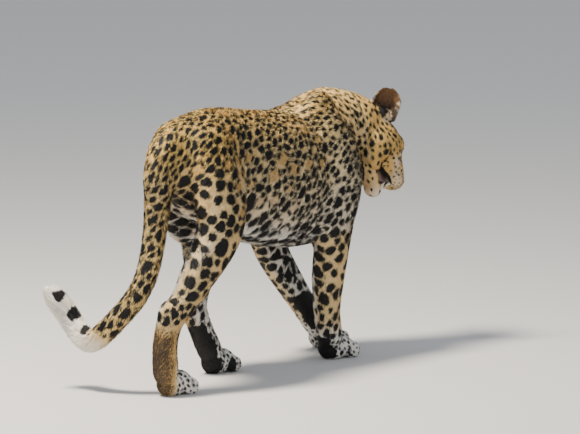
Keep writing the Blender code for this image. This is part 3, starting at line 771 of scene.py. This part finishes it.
def ragged(fine):
    """Uneven waves over the skin, about -1 to 1, for edges that wander; more to the metre the
    higher fine is."""
    total = 0
    for k, toward in enumerate(WAVES):
        total = total + np.sin(points @ np.array(toward) * fine * (5.0 + 1.7 * k) + 1.3 * k)
    return total / 2.4


def oval(a, b, low, high):
    """One inside an oval, by its two scaled distances, and nought outside."""
    return fall(np.sqrt(a**2 + b**2), low, high)


def hump(values, middle_at, width):
    return np.exp(-(((values - middle_at) / width) ** 2))


# The coat's ground colours, from nought to one: how white, how warm and how dark a brown it is.
nx, ny, nz = normals.T
x, _, z = in_body.T
white = (on_torso + on_neck) * ramp(-nz, 0.20, 0.75) * fall(z, 0.36, 0.48)
for side, name in ((-1, "_right"), (1, "_left")):
    limbs = on(*(limb + name for limb in ("foreleg", "forepaw", "shank", "hock", "hindpaw")))
    white += limbs * ramp(-side * ny, 0.0, 0.7) * 0.9
toes = (1 - on_head - on_tail).clip(0) * fall(z, 0.045, 0.11)
# The right hind foot is finely stippled with brown, but for its toes
right_paw = on("hindpaw_right")
paw_from, paw_to = x[right_paw > 0].min(), x[right_paw > 0].max()
stippled = on("hindpaw_right", "hock_right") * ramp(-nx, -0.35, 0.1)
stippled *= fall(z + 0.012 * ragged(9), 0.13, 0.20)
stippled *= 1 - right_paw * ramp((x - paw_from) / (paw_to - paw_from), 0.22, 0.42)
white = np.maximum(white, toes * (1 - stippled)) * (1 - stippled)
low_flank = on_torso * ramp(np.abs(ny), 0.2, 0.9) * fall(z, 0.33, 0.50) * 0.45
white = np.maximum(white, low_flank)
# The face is pale round the eyes, on the whisker pads and on the chin, but the pads are only
# partly pale and the chin is white mostly at its front; the rest of them is held darker as painted
# shade
hx, hy, hz = in_head.T
hy = np.abs(hy)
muzzle = ramp(hx, 0.112, 0.132) * fall(hz, -0.006, 0.008) * ramp(hy, 0.006, 0.012)
chin_pale = fall(hz, -0.052, -0.036) * fall(hy, 0.030, 0.046)
chin_pale *= 0.05 + 0.50 * ramp(hx, 0.11, 0.14) + 0.15 * ramp(-face_normals[:, 2], 0.1, 0.8)
under_eye = oval((hx - 0.098) / 0.020, (hz - 0.003) / 0.009, 0.5, 1.2) * ramp(hy, 0.022, 0.030)
over_eye = oval((hx - 0.100) / 0.012, (hz - 0.040) / 0.007, 0.5, 1.2)
over_eye *= ramp(hy, 0.020, 0.027) * fall(hy, 0.036, 0.046)
face_white = np.maximum.reduce([0.40 * muzzle, chin_pale, 0.45 * under_eye, 0.4 * over_eye])
white = np.where(on_face > 0, face_white, white)
# The tail's end is white, above most of all, and its middle is pale beneath
tip_part = ramp(way + 0.008 * ragged(10), way_tip - 0.185, way_tip - 0.12) * on_tail
tail_white = np.maximum((0.90 - 0.25 * ramp(nx, 0.0, 0.8)) * tip_part, 0.35 * ramp(nx, 0.3, 0.9))
white = np.where(on_tail > 0, tail_white, white)
warm = on_torso * (0.42 + 0.50 * ramp(z, 0.46, 0.62) + 0.30 * fall(x, -0.34, -0.22))
warm += on_neck * (0.50 + 0.35 * ramp(z, 0.52, 0.62)) + on_face * 0.90
warm += on(*HINDLEG_NODES) * 0.60 + on(*FORELEG_NODES) * 0.55 + on_tail * (0.80 - 0.5 * tip_part)
warm -= 0.20 * on_torso * ramp(x, 0.10, 0.16) * fall(z, 0.56, 0.64)
warm = np.maximum(warm.clip(0, 1), 0.85 * stippled)
# Long pale hair fringes the hind legs behind the knee
fringe = on_shanks * ramp(-nx, 0.0, 0.6) * hump(z, 0.32, 0.045) * ramp(ragged(34), -0.6, 0.5)
white = np.maximum(white, 0.42 * fringe)
black += 0.0015 * fringe

# Solid bars and patches on this animal: black behind the left hind foot and the right forefoot,
# partly dark hair and partly painted shade, bars inside the left foreleg from one height to
# another, and bands over the white tip of the tail, each by its distance from the tip and its
# half width.
TIP_BANDS = ((0.041, 0.0125), (0.094, 0.0130), (0.150, 0.0140))
FORELEG_BARS = ((0.230, 0.240), (0.190, 0.199))
umber = stippled * (0.48 + 0.26 * ramp(-nx, 0.1, 0.8) + 0.05 * ragged(22))
black += SPOT_REACH * ramp(stippled, 0.30, 0.55)
# The black behind the left hind foot and the right forefoot is partly dark hair and partly painted
# shade.
solid = on("hindpaw_left", "hock_left") * ramp(-nx, 0.0, 0.5) * fall(z, 0.10, 0.15)
solid += on("forepaw_right", "foreleg_right") * ramp(-nx, 0.3, 0.8) * fall(z, 0.040, 0.080)
inner_left = on("forepaw_left", "foreleg_left") * ramp(-ny, -0.1, 0.5)
solid += inner_left * fall(z, 0.125, 0.165) * ramp(z, 0.03, 0.07)
solid += 0.20 * ragged(16) + 0.10 * ragged(41)
black = np.minimum(black, (0.5 - solid) * 0.02)
black = np.where((on_tail > 0) & (way > way_tip - TIP_BANDS[-1][0] - 0.025), SPOT_REACH, black)
off_top = fall(normals @ unit(np.array((0.40, -0.62, 0.67))), -0.20, 0.15)
wavy = 0.0035 * ragged(14) + 0.0018 * ragged(37)
for from_tip, half in TIP_BANDS:
    band = np.abs(way_tip - way - from_tip) - half + wavy + off_top * 0.022
    black = np.where(on_tail > 0, np.minimum(black, band), black)
height = z + 0.006 * ragged(9)
off_inside = 1 - on("foreleg_left") * ramp(-ny, 0.2, 0.6)
for low, high in FORELEG_BARS:
    bar = np.maximum(low - height, height - high) + off_inside * 0.02 + 0.0022 * ragged(30)
    black = np.minimum(black, bar)

# The ears are brown inside, darkening deep in the cup as painted shade, with pale hair along the
# rim, and black behind with a pale bar.
ear_inside, ear_rim, ear_high, root_black = np.zeros((4, len(points)))
for name, side, axis, facing in EARS:
    axis, facing, across = (np.array(v) for v in ear_axes(axis, facing))
    offset = in_head - np.array(sided(EAR_ROOT, side))
    from_middle = (offset - np.outer(offset @ axis, axis)) @ across
    aside = np.abs(from_middle) / EAR_HALF_WIDTH
    toward = (face_normals @ across) * -np.sign(from_middle) * aside
    here = on(name)
    ear_inside += here * ramp(face_normals @ facing + toward, -0.05, 0.25)
    ear_high += here * (offset @ axis / EAR_LENGTH).clip(0, 1)
    ear_rim += here * ramp(aside, 0.72, 0.95)
    # The black of the ear's back runs down over its root towards the nape, and ends in front
    at_foot = (1 - here) * fall(np.linalg.norm(offset, axis=1), 0.020, 0.034)
    rear = fall(offset[:, 0] + 0.004 * ragged(30), -0.012, 0.002)
    root_black = np.maximum(root_black, at_foot * rear)
    in_front = at_foot * (1 - rear) * ramp(offset @ facing, -0.004, 0.008)
    white = np.maximum(white, 0.45 * in_front)

fields = {"white": white, "warm": warm, "umber": umber}
for name in fields:
    fields[name] = spread(fields[name], edges, 12)
# Painted shade: the sides and lower part of the face are made tawny, with the orange of light
# thrown up from the ground painted in as well.
face_shade = on_face * ramp(hy, 0.020, 0.045) * fall(hz, 0.030, 0.055)
face_shade = np.maximum(face_shade, on_face * 0.6 * fall(hz, -0.040, -0.020))
fields["tawny"] = spread(np.maximum(tawny, 0.50 * face_shade), edges, 2)
edge_hair = ramp(ear_rim, 0.15, 0.75) * (0.35 + 0.65 * ramp(ragged(60), -0.2, 0.4))
fields["ear"] = ear_inside * (1 - 0.75 * edge_hair)
ear_back = np.maximum(on_ears * (1 - ear_inside.clip(0, 1)), root_black)
pale_bar = ramp(ear_high, 0.42, 0.52) * fall(ear_high, 0.70, 0.82)
pale_bar *= fall(ear_rim, 0.1, 0.6)
fields["earback"] = spread(ear_back, edges, 2) * (1 - 0.9 * spread(pale_bar, edges, 3))
fields["high"] = spread(ear_high * ear_inside, edges, 2)

# The mouth. Skin that faces the other jaw across the gap is bare and wet, with black lips.
MOUTH_GAP = 0.040
LIP_EDGE = 0.10
LIP_ROUNDS = 45
in_mouth = np.zeros(len(points))
skin_tree = BVHTree.FromObject(skin, bpy.context.evaluated_depsgraph_get())
near_mouth = (on_face > 0) & (hx > 0.035) & (hy < 0.045) & (hz > -0.085) & (hz < 0.0)
for k in np.flatnonzero(near_mouth):
    start = points[k] + normals[k] * 0.002
    in_mouth[k] = skin_tree.ray_cast(start, normals[k], MOUTH_GAP)[0] is not None
in_mouth = spread(in_mouth, edges, 14)
black = np.minimum(black, (LIP_EDGE - spread(in_mouth, edges, LIP_ROUNDS)) * 0.05)
nose_pad = oval(hy / 0.0175, (hz - 0.010) / 0.0125, 0.85, 1.05) * ramp(hx, 0.152, 0.157)
lid_rim = np.zeros(len(points))
for side in (-1, 1):
    offset, a, b, c, edge, away = about_eye(in_head, side)
    close = (c > 0.002) & (np.linalg.norm(offset, axis=1) < EYE_RADIUS * 1.9)
    lid_rim = np.maximum(lid_rim, close * fall(away, 0.0016, 0.0034))
    # The dark line from the inner corner down the side of the nose
    tear = (np.abs(b + 0.12 * (a - EYE_SLIT)) - 0.0016) + 0.05 * ~((a > EYE_SLIT) & (a < 0.021))
    black = np.where(c > -0.006, np.minimum(black, tear), black)
fields.update(black=black, mouth=in_mouth, nose=nose_pad, rim=lid_rim)
SKIN_ONLY = ("mouth", "nose", "rim")


def store(mesh, name, values):
    layer = mesh.attributes.new(name, "FLOAT", "POINT")
    layer.data.foreach_set("value", values.astype(np.float32))


for name, values in fields.items():
    store(skin.data, name, values)

# The coat's colours, shared by the skin and every tuft. Hair is gold, cream or white at its
# place, tawny inside the rings and, as painted shade, on the sides and jaw of the face, and black
# where a spot lies; skin shows where it is bare.
GOLD = (0.80, 0.510, 0.140)
CREAM = (0.85, 0.715, 0.460)
WHITE = (0.87, 0.830, 0.750)
TAWNY = (0.56, 0.310, 0.075)
UMBER = (0.060, 0.038, 0.022)
BLACK = (0.0085, 0.0075, 0.0075)
EAR_INSIDE = (0.22, 0.115, 0.052)
EAR_CUP_SHADE = (0.050, 0.028, 0.015)
NOSE_SKIN = (0.16, 0.060, 0.048)
MOUTH_SKIN = (0.065, 0.020, 0.018)
LIP_SKIN = (0.008, 0.007, 0.007)
FUR_ROUGHNESS = 0.62
SKIN_ROUGHNESS = 0.7
WET_ROUGHNESS = 0.28
GRAIN_SCALE = 420.0

coat_group = bpy.data.node_groups.new("leopard coat", "ShaderNodeTree")
coat_sockets = coat_group.interface
coat_sockets.new_socket("Edge Noise", in_out="INPUT", socket_type="NodeSocketFloat")
coat_sockets.new_socket("Tone", in_out="INPUT", socket_type="NodeSocketFloat")
coat_sockets.new_socket("Color", in_out="OUTPUT", socket_type="NodeSocketColor")
coat_sockets.new_socket("Bare", in_out="OUTPUT", socket_type="NodeSocketFloat")
group_in = coat_group.nodes.new("NodeGroupInput")
group_out = coat_group.nodes.new("NodeGroupOutput")


def shade(tree, kind, inputs, **settings):
    """A shader node with its settings made and its inputs linked or filled in."""
    node = tree.nodes.new("ShaderNode" + kind)
    for key, value in settings.items():
        setattr(node, key, value)
    for key, value in inputs.items():
        if isinstance(value, bpy.types.NodeSocket):
            tree.links.new(value, node.inputs[key])
        else:
            node.inputs[key].default_value = value
    return node


def read(name, tree=coat_group):
    return shade(tree, "Attribute", {}, attribute_name=name).outputs["Fac"]


def between(value, low, high):
    span = {"Value": value, "From Min": low, "From Max": high}
    return shade(coat_group, "MapRange", span, interpolation_type="SMOOTHSTEP").outputs["Result"]


def join(first, second, operation="ADD"):
    return shade(coat_group, "Math", {0: first, 1: second}, operation=operation).outputs[0]


def mixed(amount, first, second, kind="MIX"):
    first, second = ((*v, 1.0) if isinstance(v, tuple) else v for v in (first, second))
    inputs = {"Factor": amount, 6: first, 7: second}
    return shade(coat_group, "Mix", inputs, data_type="RGBA", blend_type=kind).outputs[2]


uneven = group_in.outputs["Edge Noise"]
ground = mixed(read("warm"), CREAM, GOLD)
ground = mixed(join(read("tawny"), 0.65, "MULTIPLY"), ground, TAWNY)
ground = mixed(read("white"), ground, WHITE)
stipple = join(read("umber"), join(uneven, 0.6, "MULTIPLY"))
ground = mixed(between(stipple, 0.36, 0.62), ground, UMBER)
# Low in the ear's cup the brown darkens to painted shade.
cup = mixed(between(read("high"), 0.20, 0.70), EAR_CUP_SHADE, EAR_INSIDE)
ground = mixed(between(read("ear"), 0.3, 0.7), ground, cup)
spot = join(read("black"), join(uneven, 0.0040, "MULTIPLY"))
ground = mixed(between(spot, 0.0009, -0.0009), ground, BLACK)
ground = mixed(between(read("earback"), 0.3, 0.7), ground, BLACK)
ground = mixed(0.5, ground, group_in.outputs["Tone"], "SOFT_LIGHT")
ground = mixed(between(read("mouth"), 0.05, 0.13), ground, LIP_SKIN)
ground = mixed(between(read("mouth"), 0.93, 0.99), ground, MOUTH_SKIN)
ground = mixed(between(read("nose"), 0.35, 0.65), ground, NOSE_SKIN)
ground = mixed(between(read("rim"), 0.35, 0.65), ground, LIP_SKIN)
coat_group.links.new(ground, group_out.inputs["Color"])
wet = join(join(read("mouth"), read("nose"), "MAXIMUM"), read("rim"), "MAXIMUM")
coat_group.links.new(between(wet, 0.3, 0.6), group_out.inputs["Bare"])


def coat_look(name, on_skin):
    """A hair material; on the skin its own noise makes the fine hair, on tufts each tuft's."""
    material, shader = plain_material(name, (0.5, 0.4, 0.3, 1.0), FUR_ROUGHNESS)
    shader.inputs["Specular IOR Level"].default_value = 0.35
    tree = material.node_tree
    group = shade(tree, "Group", {}, node_tree=coat_group)
    grain = read("chance", tree)
    if on_skin:
        place = shade(tree, "TexCoord", {}).outputs["Object"]
        noise = {"Vector": place, "Scale": GRAIN_SCALE, "Detail": 3.0}
        grain = shade(tree, "TexNoise", noise).outputs["Fac"]
        bump = shade(tree, "Bump", {"Distance": 0.0006, "Strength": 0.6, "Height": grain})
        span = {"Value": group.outputs["Bare"], "To Min": SKIN_ROUGHNESS, "To Max": WET_ROUGHNESS}
        rough = shade(tree, "MapRange", span)
        tree.links.new(bump.outputs["Normal"], shader.inputs["Normal"])
        tree.links.new(rough.outputs["Result"], shader.inputs["Roughness"])
    shifted = shade(tree, "Math", {0: grain, 1: 0.5}, operation="SUBTRACT")
    tree.links.new(grain, group.inputs["Tone"])
    tree.links.new(shifted.outputs[0], group.inputs["Edge Noise"])
    tree.links.new(group.outputs["Color"], shader.inputs["Base Color"])
    return material


skin.data.materials.clear()
skin.data.materials.append(coat_look("leopard skin", True))
skin.data.polygons.foreach_set("use_smooth", np.ones(len(skin.data.polygons), bool))
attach(skin, "root")
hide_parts(*FLESH)

# The fur. Tufts of a few hairs each grow from the skin, thin and lying back along the body, and
# the whole coat is their overlapping tips; it is short on the face and feet, close on the back,
# and long and loose on the belly, in the groin, behind the knees and on the tail.
TUFT_PATCH = 0.0030
TUFT_SWING = 0.16
TUFT_ROLL = 0.45
TUFT_BEND = 0.38
ROOT_DEPTH = 0.0004

in_cup = on_ears * ramp(ear_inside, 0.3, 0.8) * fall(ear_high, 0.45, 0.85)
on_legs = on(*FORELEG_NODES, *HINDLEG_NODES) * (1 - on_paws)
groin = (on_torso + on_shanks) * np.exp(-(((x + 0.20) / 0.08) ** 2 + ((z - 0.36) / 0.055) ** 2))
belly = on_torso * ramp(-nz, 0.3, 0.8) * fall(z, 0.32, 0.40)
behind = on_shanks * ramp(-nx, 0.1, 0.6) * hump(z, 0.32, 0.05)
ruff = on_face * hump(hx, -0.005, 0.035) * fall(hz, 0.02, 0.05)
# Where each kind of hair grows, its length, how high its tips stand and how far apart tufts are
HAIR = (
    (on_torso, 0.0135, 0.0048, 0.00185),
    (on_neck, 0.0115, 0.0040, 0.00185),
    (on_tail, 0.0135, 0.0052, 0.00185),
    (on_legs, 0.0100, 0.0030, 0.00175),
    (on_paws, 0.0055, 0.0012, 0.00145),
    (on_face, 0.0085, 0.0022, 0.00128),
    (on_face * ramp(hx, 0.02, 0.12), -0.0048, -0.0013, 0),
    (on_ears, 0.0050, 0.0012, 0.00125),
    (in_cup, 0.0080, 0.0040, 0),
    (groin, 0.0150, 0.0040, 0),
    (belly, 0.0100, 0.0025, 0),
    (behind, 0.0150, 0.0050, 0),
    (ruff, 0.0045, 0.0022, 0),
    (tip_part, 0.0035, 0.0015, 0),
)
shape = spread(sum(np.outer(where, values) for where, *values in HAIR), edges, 6)

triangles = rows_of(skin.data.polygons, "vertices", 3, np.int32)
corner = points[triangles]
area = np.cross(corner[:, 1] - corner[:, 0], corner[:, 2] - corner[:, 0])
area = np.linalg.norm(area, axis=1) / 2
hairy = fall(np.maximum.reduce([in_mouth, nose_pad, lid_rim]), 0.25, 0.5)
for side in (-1, 1):
    from_eye = np.linalg.norm(in_head - np.array(sided(EYE_PLACE, side)), axis=1)
    hairy[from_eye < EYE_RADIUS + ROOT_DEPTH] = 0
hairy[~kept] = 0
wanted = area * hairy[triangles].mean(1) / shape[triangles, 2].mean(1) ** 2
roots = np.repeat(np.arange(len(triangles)), np.floor(wanted + rng.random(len(wanted))).astype(int))
count = len(roots)
share = rng.dirichlet((1, 1, 1), count)
corners = triangles[roots]


def at_root(values):
    return np.einsum("ij,ij...->i...", share, values[corners])


def nearest(places):
    return np.array([point_tree.find(p)[1] for p in places.tolist()])


root = at_root(points)
up = unit(at_root(normals))
back = tangent(at_root(lie), up)
sideways = np.cross(up, back)
swing = rng.normal(0, TUFT_SWING, count)[:, None]
back = back * np.cos(swing) + sideways * np.sin(swing)
long, high, gap = at_root(shape).T
long = long * rng.uniform(0.75, 1.2, count)
high = high * rng.uniform(0.45, 1.25, count)
wide = gap * rng.uniform(0.55, 0.85, count)

# Each tip comes to its height over the skin below it, so that a tuft follows the body round
reached = root + back * (long * 0.95)[:, None]
under = nearest(reached)
over = ((reached - points[under]) * normals[under]).sum(1)
over = np.where(np.linalg.norm(reached - points[under], axis=1) < 0.012, over, high)
tip = reached - normals[under] * (over - high)[:, None]
beneath = nearest((root + tip) / 2)
bend = (root + tip) / 2 + up * (high * TUFT_BEND)[:, None]
roll = rng.normal(0, TUFT_ROLL, count)[:, None]
lay = unit(tip - root)
sideways = unit(np.cross(lay, up))
sideways = sideways * np.cos(roll) + np.cross(lay, sideways) * np.sin(roll)
half = sideways * (wide / 2)[:, None]
foot = root - up * ROOT_DEPTH
tufts = np.stack([foot - half, foot + half, bend + half * 0.85, bend - half * 0.85, tip], 1)
tuft_normals = up * 0.75 + sideways * rng.normal(0, 0.22, count)[:, None]
tuft_normals = unit(tuft_normals + lay * rng.normal(0.05, 0.14, count)[:, None])
chance = rng.random(count)

region = part[corners[:, 0]]
rear = in_body[corners[:, 0], 0] < -0.13
left = in_body[corners[:, 0], 1] > 0


def region_of(*names):
    return np.isin(region, [FLESH.index(n) for n in names])


PIECES = {
    "coat_head": region_of(*HEAD_NODES),
    "coat_neck": region_of("neck"),
    "coat_front_right": region_of("torso") & ~rear & ~left,
    "coat_front_left": region_of("torso") & ~rear & left,
    "coat_rear_right": region_of("torso") & rear & ~left,
    "coat_rear_left": region_of("torso") & rear & left,
    "coat_forelegs": region_of(*FORELEG_NODES),
    "coat_hind_right": region_of("shank_right", "hock_right", "hindpaw_right"),
    "coat_hind_left": region_of("shank_left", "hock_left", "hindpaw_left"),
    "coat_tail": region_of(*TAIL_NODES),
}
# A tuft is five vertices from root to tip, which make a four-sided face and a triangle
TUFT_LOOPS = np.array((0, 1, 2, 3, 3, 2, 4))
TUFT_UV = np.array(((-0.5, -0.5), (0.5, -0.5), (0.5, 0.0), (-0.5, 0.0), (0.0, 0.5))) * TUFT_PATCH
tuft_look = coat_look("leopard fur", False)
for name, chosen in PIECES.items():
    chosen = np.flatnonzero(chosen)
    n = len(chosen)
    mesh = bpy.data.meshes.new(name)
    loops = (np.arange(n)[:, None] * 5 + TUFT_LOOPS).ravel()
    mesh.vertices.add(n * 5)
    mesh.vertices.foreach_set("co", tufts[chosen].astype(np.float32).ravel())
    mesh.loops.add(n * 7)
    mesh.loops.foreach_set("vertex_index", loops.astype(np.int32))
    mesh.polygons.add(n * 2)
    starts = (np.arange(n)[:, None] * 7 + np.array((0, 4))).ravel()
    mesh.polygons.foreach_set("loop_start", starts.astype(np.int32))
    mesh.update(calc_edges=True)
    for field, values in fields.items():
        if field not in SKIN_ONLY:
            at_three = (at_root(values)[chosen], values[beneath[chosen]], values[under[chosen]])
            store(mesh, field, np.stack(at_three, 1)[:, (0, 0, 1, 1, 2)].ravel())
    store(mesh, "chance", np.repeat(chance[chosen], 5))
    # Unwrap round the piece's own long axis
    offset = root[chosen] - root[chosen].mean(0)
    axes = np.linalg.eigh(offset.T @ offset)[1]
    u = np.arctan2(offset @ axes[:, 0], offset @ axes[:, 1]) / (2 * math.pi) + 0.5
    v = offset @ axes[:, 2]
    v = (v - v.min()) / (v.max() - v.min())
    uv = (0.01 + 0.98 * np.stack([u, v], 1)[:, None] + TUFT_UV).reshape(-1, 2)
    layer = mesh.uv_layers.new(name="OFBake")
    layer.data.foreach_set("uv", uv[loops].astype(np.float32).ravel())
    piece = stand(name, mesh, tuft_look)
    mesh.normals_split_custom_set_from_vertices(np.repeat(tuft_normals[chosen], 5, axis=0))
    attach(piece, "root")

# The eyes. Each is a hard, wet ball with a golden iris, a small round pupil in the light and a
# dark rim, and the lids part over it.
IRIS = (0.42, 0.30, 0.085)
IRIS_RIM = (0.10, 0.06, 0.020)
PUPIL = (0.003, 0.003, 0.003)
WHITE_OF_EYE = (0.16, 0.10, 0.07)
CORNEA_RISE = 0.0007
CORNEA_EDGE = 0.55

eye_material, eye_shader = plain_material("eye", (0.1, 0.1, 0.1, 1.0), 0.15)
eye_shader.inputs["Coat Weight"].default_value = 1.0
eye_shader.inputs["Coat Roughness"].default_value = 0.02
eye_tree = eye_material.node_tree
turned = eye_tree.nodes.new("ShaderNodeAttribute")
turned.attribute_name = "from_sight"
rings = eye_tree.nodes.new("ShaderNodeValToRGB")
eye_tree.links.new(turned.outputs["Fac"], rings.inputs["Fac"])
eye_tree.links.new(rings.outputs["Color"], eye_shader.inputs["Base Color"])
rings.color_ramp.elements[0].color = (*PUPIL, 1)
rings.color_ramp.elements[0].position = 0.135
rings.color_ramp.elements[1].color = (*WHITE_OF_EYE, 1)
rings.color_ramp.elements[1].position = 0.56
for position, colour in ((0.15, IRIS), (0.40, IRIS), (0.47, IRIS_RIM), (0.52, PUPIL)):
    element = rings.color_ramp.elements.new(position)
    element.color = (*colour, 1)
for name, side in (("eye_right", -1), ("eye_left", 1)):
    out = eye_axes(side)[0]
    turning = out.to_track_quat("Z", "Y").to_matrix().to_4x4()
    centre = Matrix.Translation(sided(EYE_PLACE, side))
    eye_bm = bmesh.new()
    bmesh.ops.create_uvsphere(eye_bm, u_segments=64, v_segments=48, radius=EYE_RADIUS)
    turns = []
    for vert in eye_bm.verts:
        turns.append(vert.co.angle(Vector((0, 0, 1))) / math.pi * 2 if vert.co.length else 0)
        vert.co.z += CORNEA_RISE * max(0.0, 1 - turns[-1] / CORNEA_EDGE)
    bmesh.ops.transform(eye_bm, matrix=head @ centre @ turning, verts=eye_bm.verts)
    eye_mesh = mesh_of(name + "_ball", eye_bm)
    store(eye_mesh, "from_sight", np.array(turns))
    eye = stand(name + "_ball", eye_mesh, eye_material)
    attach(eye, "root")
    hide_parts(name)

# The tongue. It is a soft, flat, pink muscle that lies along the floor of the mouth.
tongue_bm = bmesh.new()
ball(tongue_bm, jaw, (0.098, 0, -0.0265), (0.040, 0.0155, 0.0085), (0, 4, 0))
tongue_material, tongue_shader = plain_material("tongue", (0.30, 0.085, 0.080, 1.0), 0.35)
tongue_shader.inputs["Subsurface Weight"].default_value = 0.15
tongue_shader.inputs["Subsurface Radius"].default_value = (0.004, 0.0015, 0.001)
tongue = stand("tongue_soft", mesh_of("tongue_soft", tongue_bm), tongue_material)
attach(tongue, "root")
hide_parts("tongue")

# The teeth. Four long canines show at the gap, with a row of small cutting teeth between them.
# Whose jaw, then the place of the root (ahead, aside, up), which way up, how tall and how thick
CANINES = ((head, 0.141, 0.0180, -0.022, -1, 0.020, 0.0048),
           (jaw, 0.136, 0.0150, -0.034, 1, 0.018, 0.0044))
teeth_bm = bmesh.new()
for place, ahead_by, aside, foot, way_up, tall, thick in CANINES:
    for side in (-1, 1):
        rows = []
        for t in np.linspace(0, 1, 9):
            radius = thick * (1 - 0.85 * t**1.6)
            rows.append((ahead_by - 0.004 * t * t, side * aside, foot + way_up * tall * t,
                         radius, radius, radius * 0.8))
        loft(teeth_bm, place, rows, (1, 0, 0), steps=1, sides=16)
    for n in range(6):
        aside_by = (n - 2.5) * 0.0036
        forward = ahead_by + 0.006 - 0.10 * abs(aside_by)
        ball(teeth_bm, place, (forward, aside_by, foot + way_up * 0.010), (0.0015, 0.0016, 0.0035))
enamel = plain_material("enamel", (0.72, 0.62, 0.44, 1.0), 0.25)[0]
teeth = stand("teeth", mesh_of("teeth", teeth_bm), enamel)
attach(teeth, "root")

# The whiskers. Long stiff white hairs stand in rows on the pads and in a bunch over each eye.
WHISKER_ROOM = 0.008
whisker_bm = bmesh.new()


def whisker(start, toward, long, thick, droop):
    """A fine hair that tapers to nothing and bends evenly."""
    start, toward = Vector(start), Vector(toward).normalized()
    end = head @ (start + (toward + Vector(droop)) * long)
    for k in range(2):
        room = max(cad_box[0][k] - end[k], end[k] - cad_box[1][k])
        long *= 1 - max(0.0, room - WHISKER_ROOM) / long
    rows = []
    for t in np.linspace(0, 1, 8):
        point = start + toward * (long * t) + Vector(droop) * (long * t * t)
        radius = thick * (1 - 0.9 * t)
        rows.append((*point, radius, radius, radius))
    loft(whisker_bm, head, rows, (0.1, 0.2, 1), steps=1, sides=6)


for side in (-1, 1):
    for row in range(4):
        for k in range(5):
            start = (0.150 - 0.0075 * k, side * (0.030 + 0.0018 * k), -0.018 + 0.0062 * row)
            toward = (0.30 - 0.24 * k, side * 1.0, -0.28 + 0.22 * row)
            long = (0.030 + 0.010 * k) * rng.uniform(0.8, 1.15)
            whisker(start, toward, long, 0.00042, (-0.15, 0.0, -0.22))
    for k in range(5):
        start = (0.088 + 0.004 * k, side * (0.036 - 0.002 * k), 0.049)
        toward = (0.45 - 0.16 * k, side * (0.25 + 0.14 * k), 1.0)
        whisker(start, toward, 0.048 * rng.uniform(0.8, 1.15), 0.00038, (-0.22, 0.0, -0.10))
whisker_hair = plain_material("whiskers", (0.86, 0.83, 0.78, 1.0), 0.35)[0]
whiskers = stand("whiskers", mesh_of("whiskers", whisker_bm), whisker_hair, smooth=False)
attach(whiskers, "root")
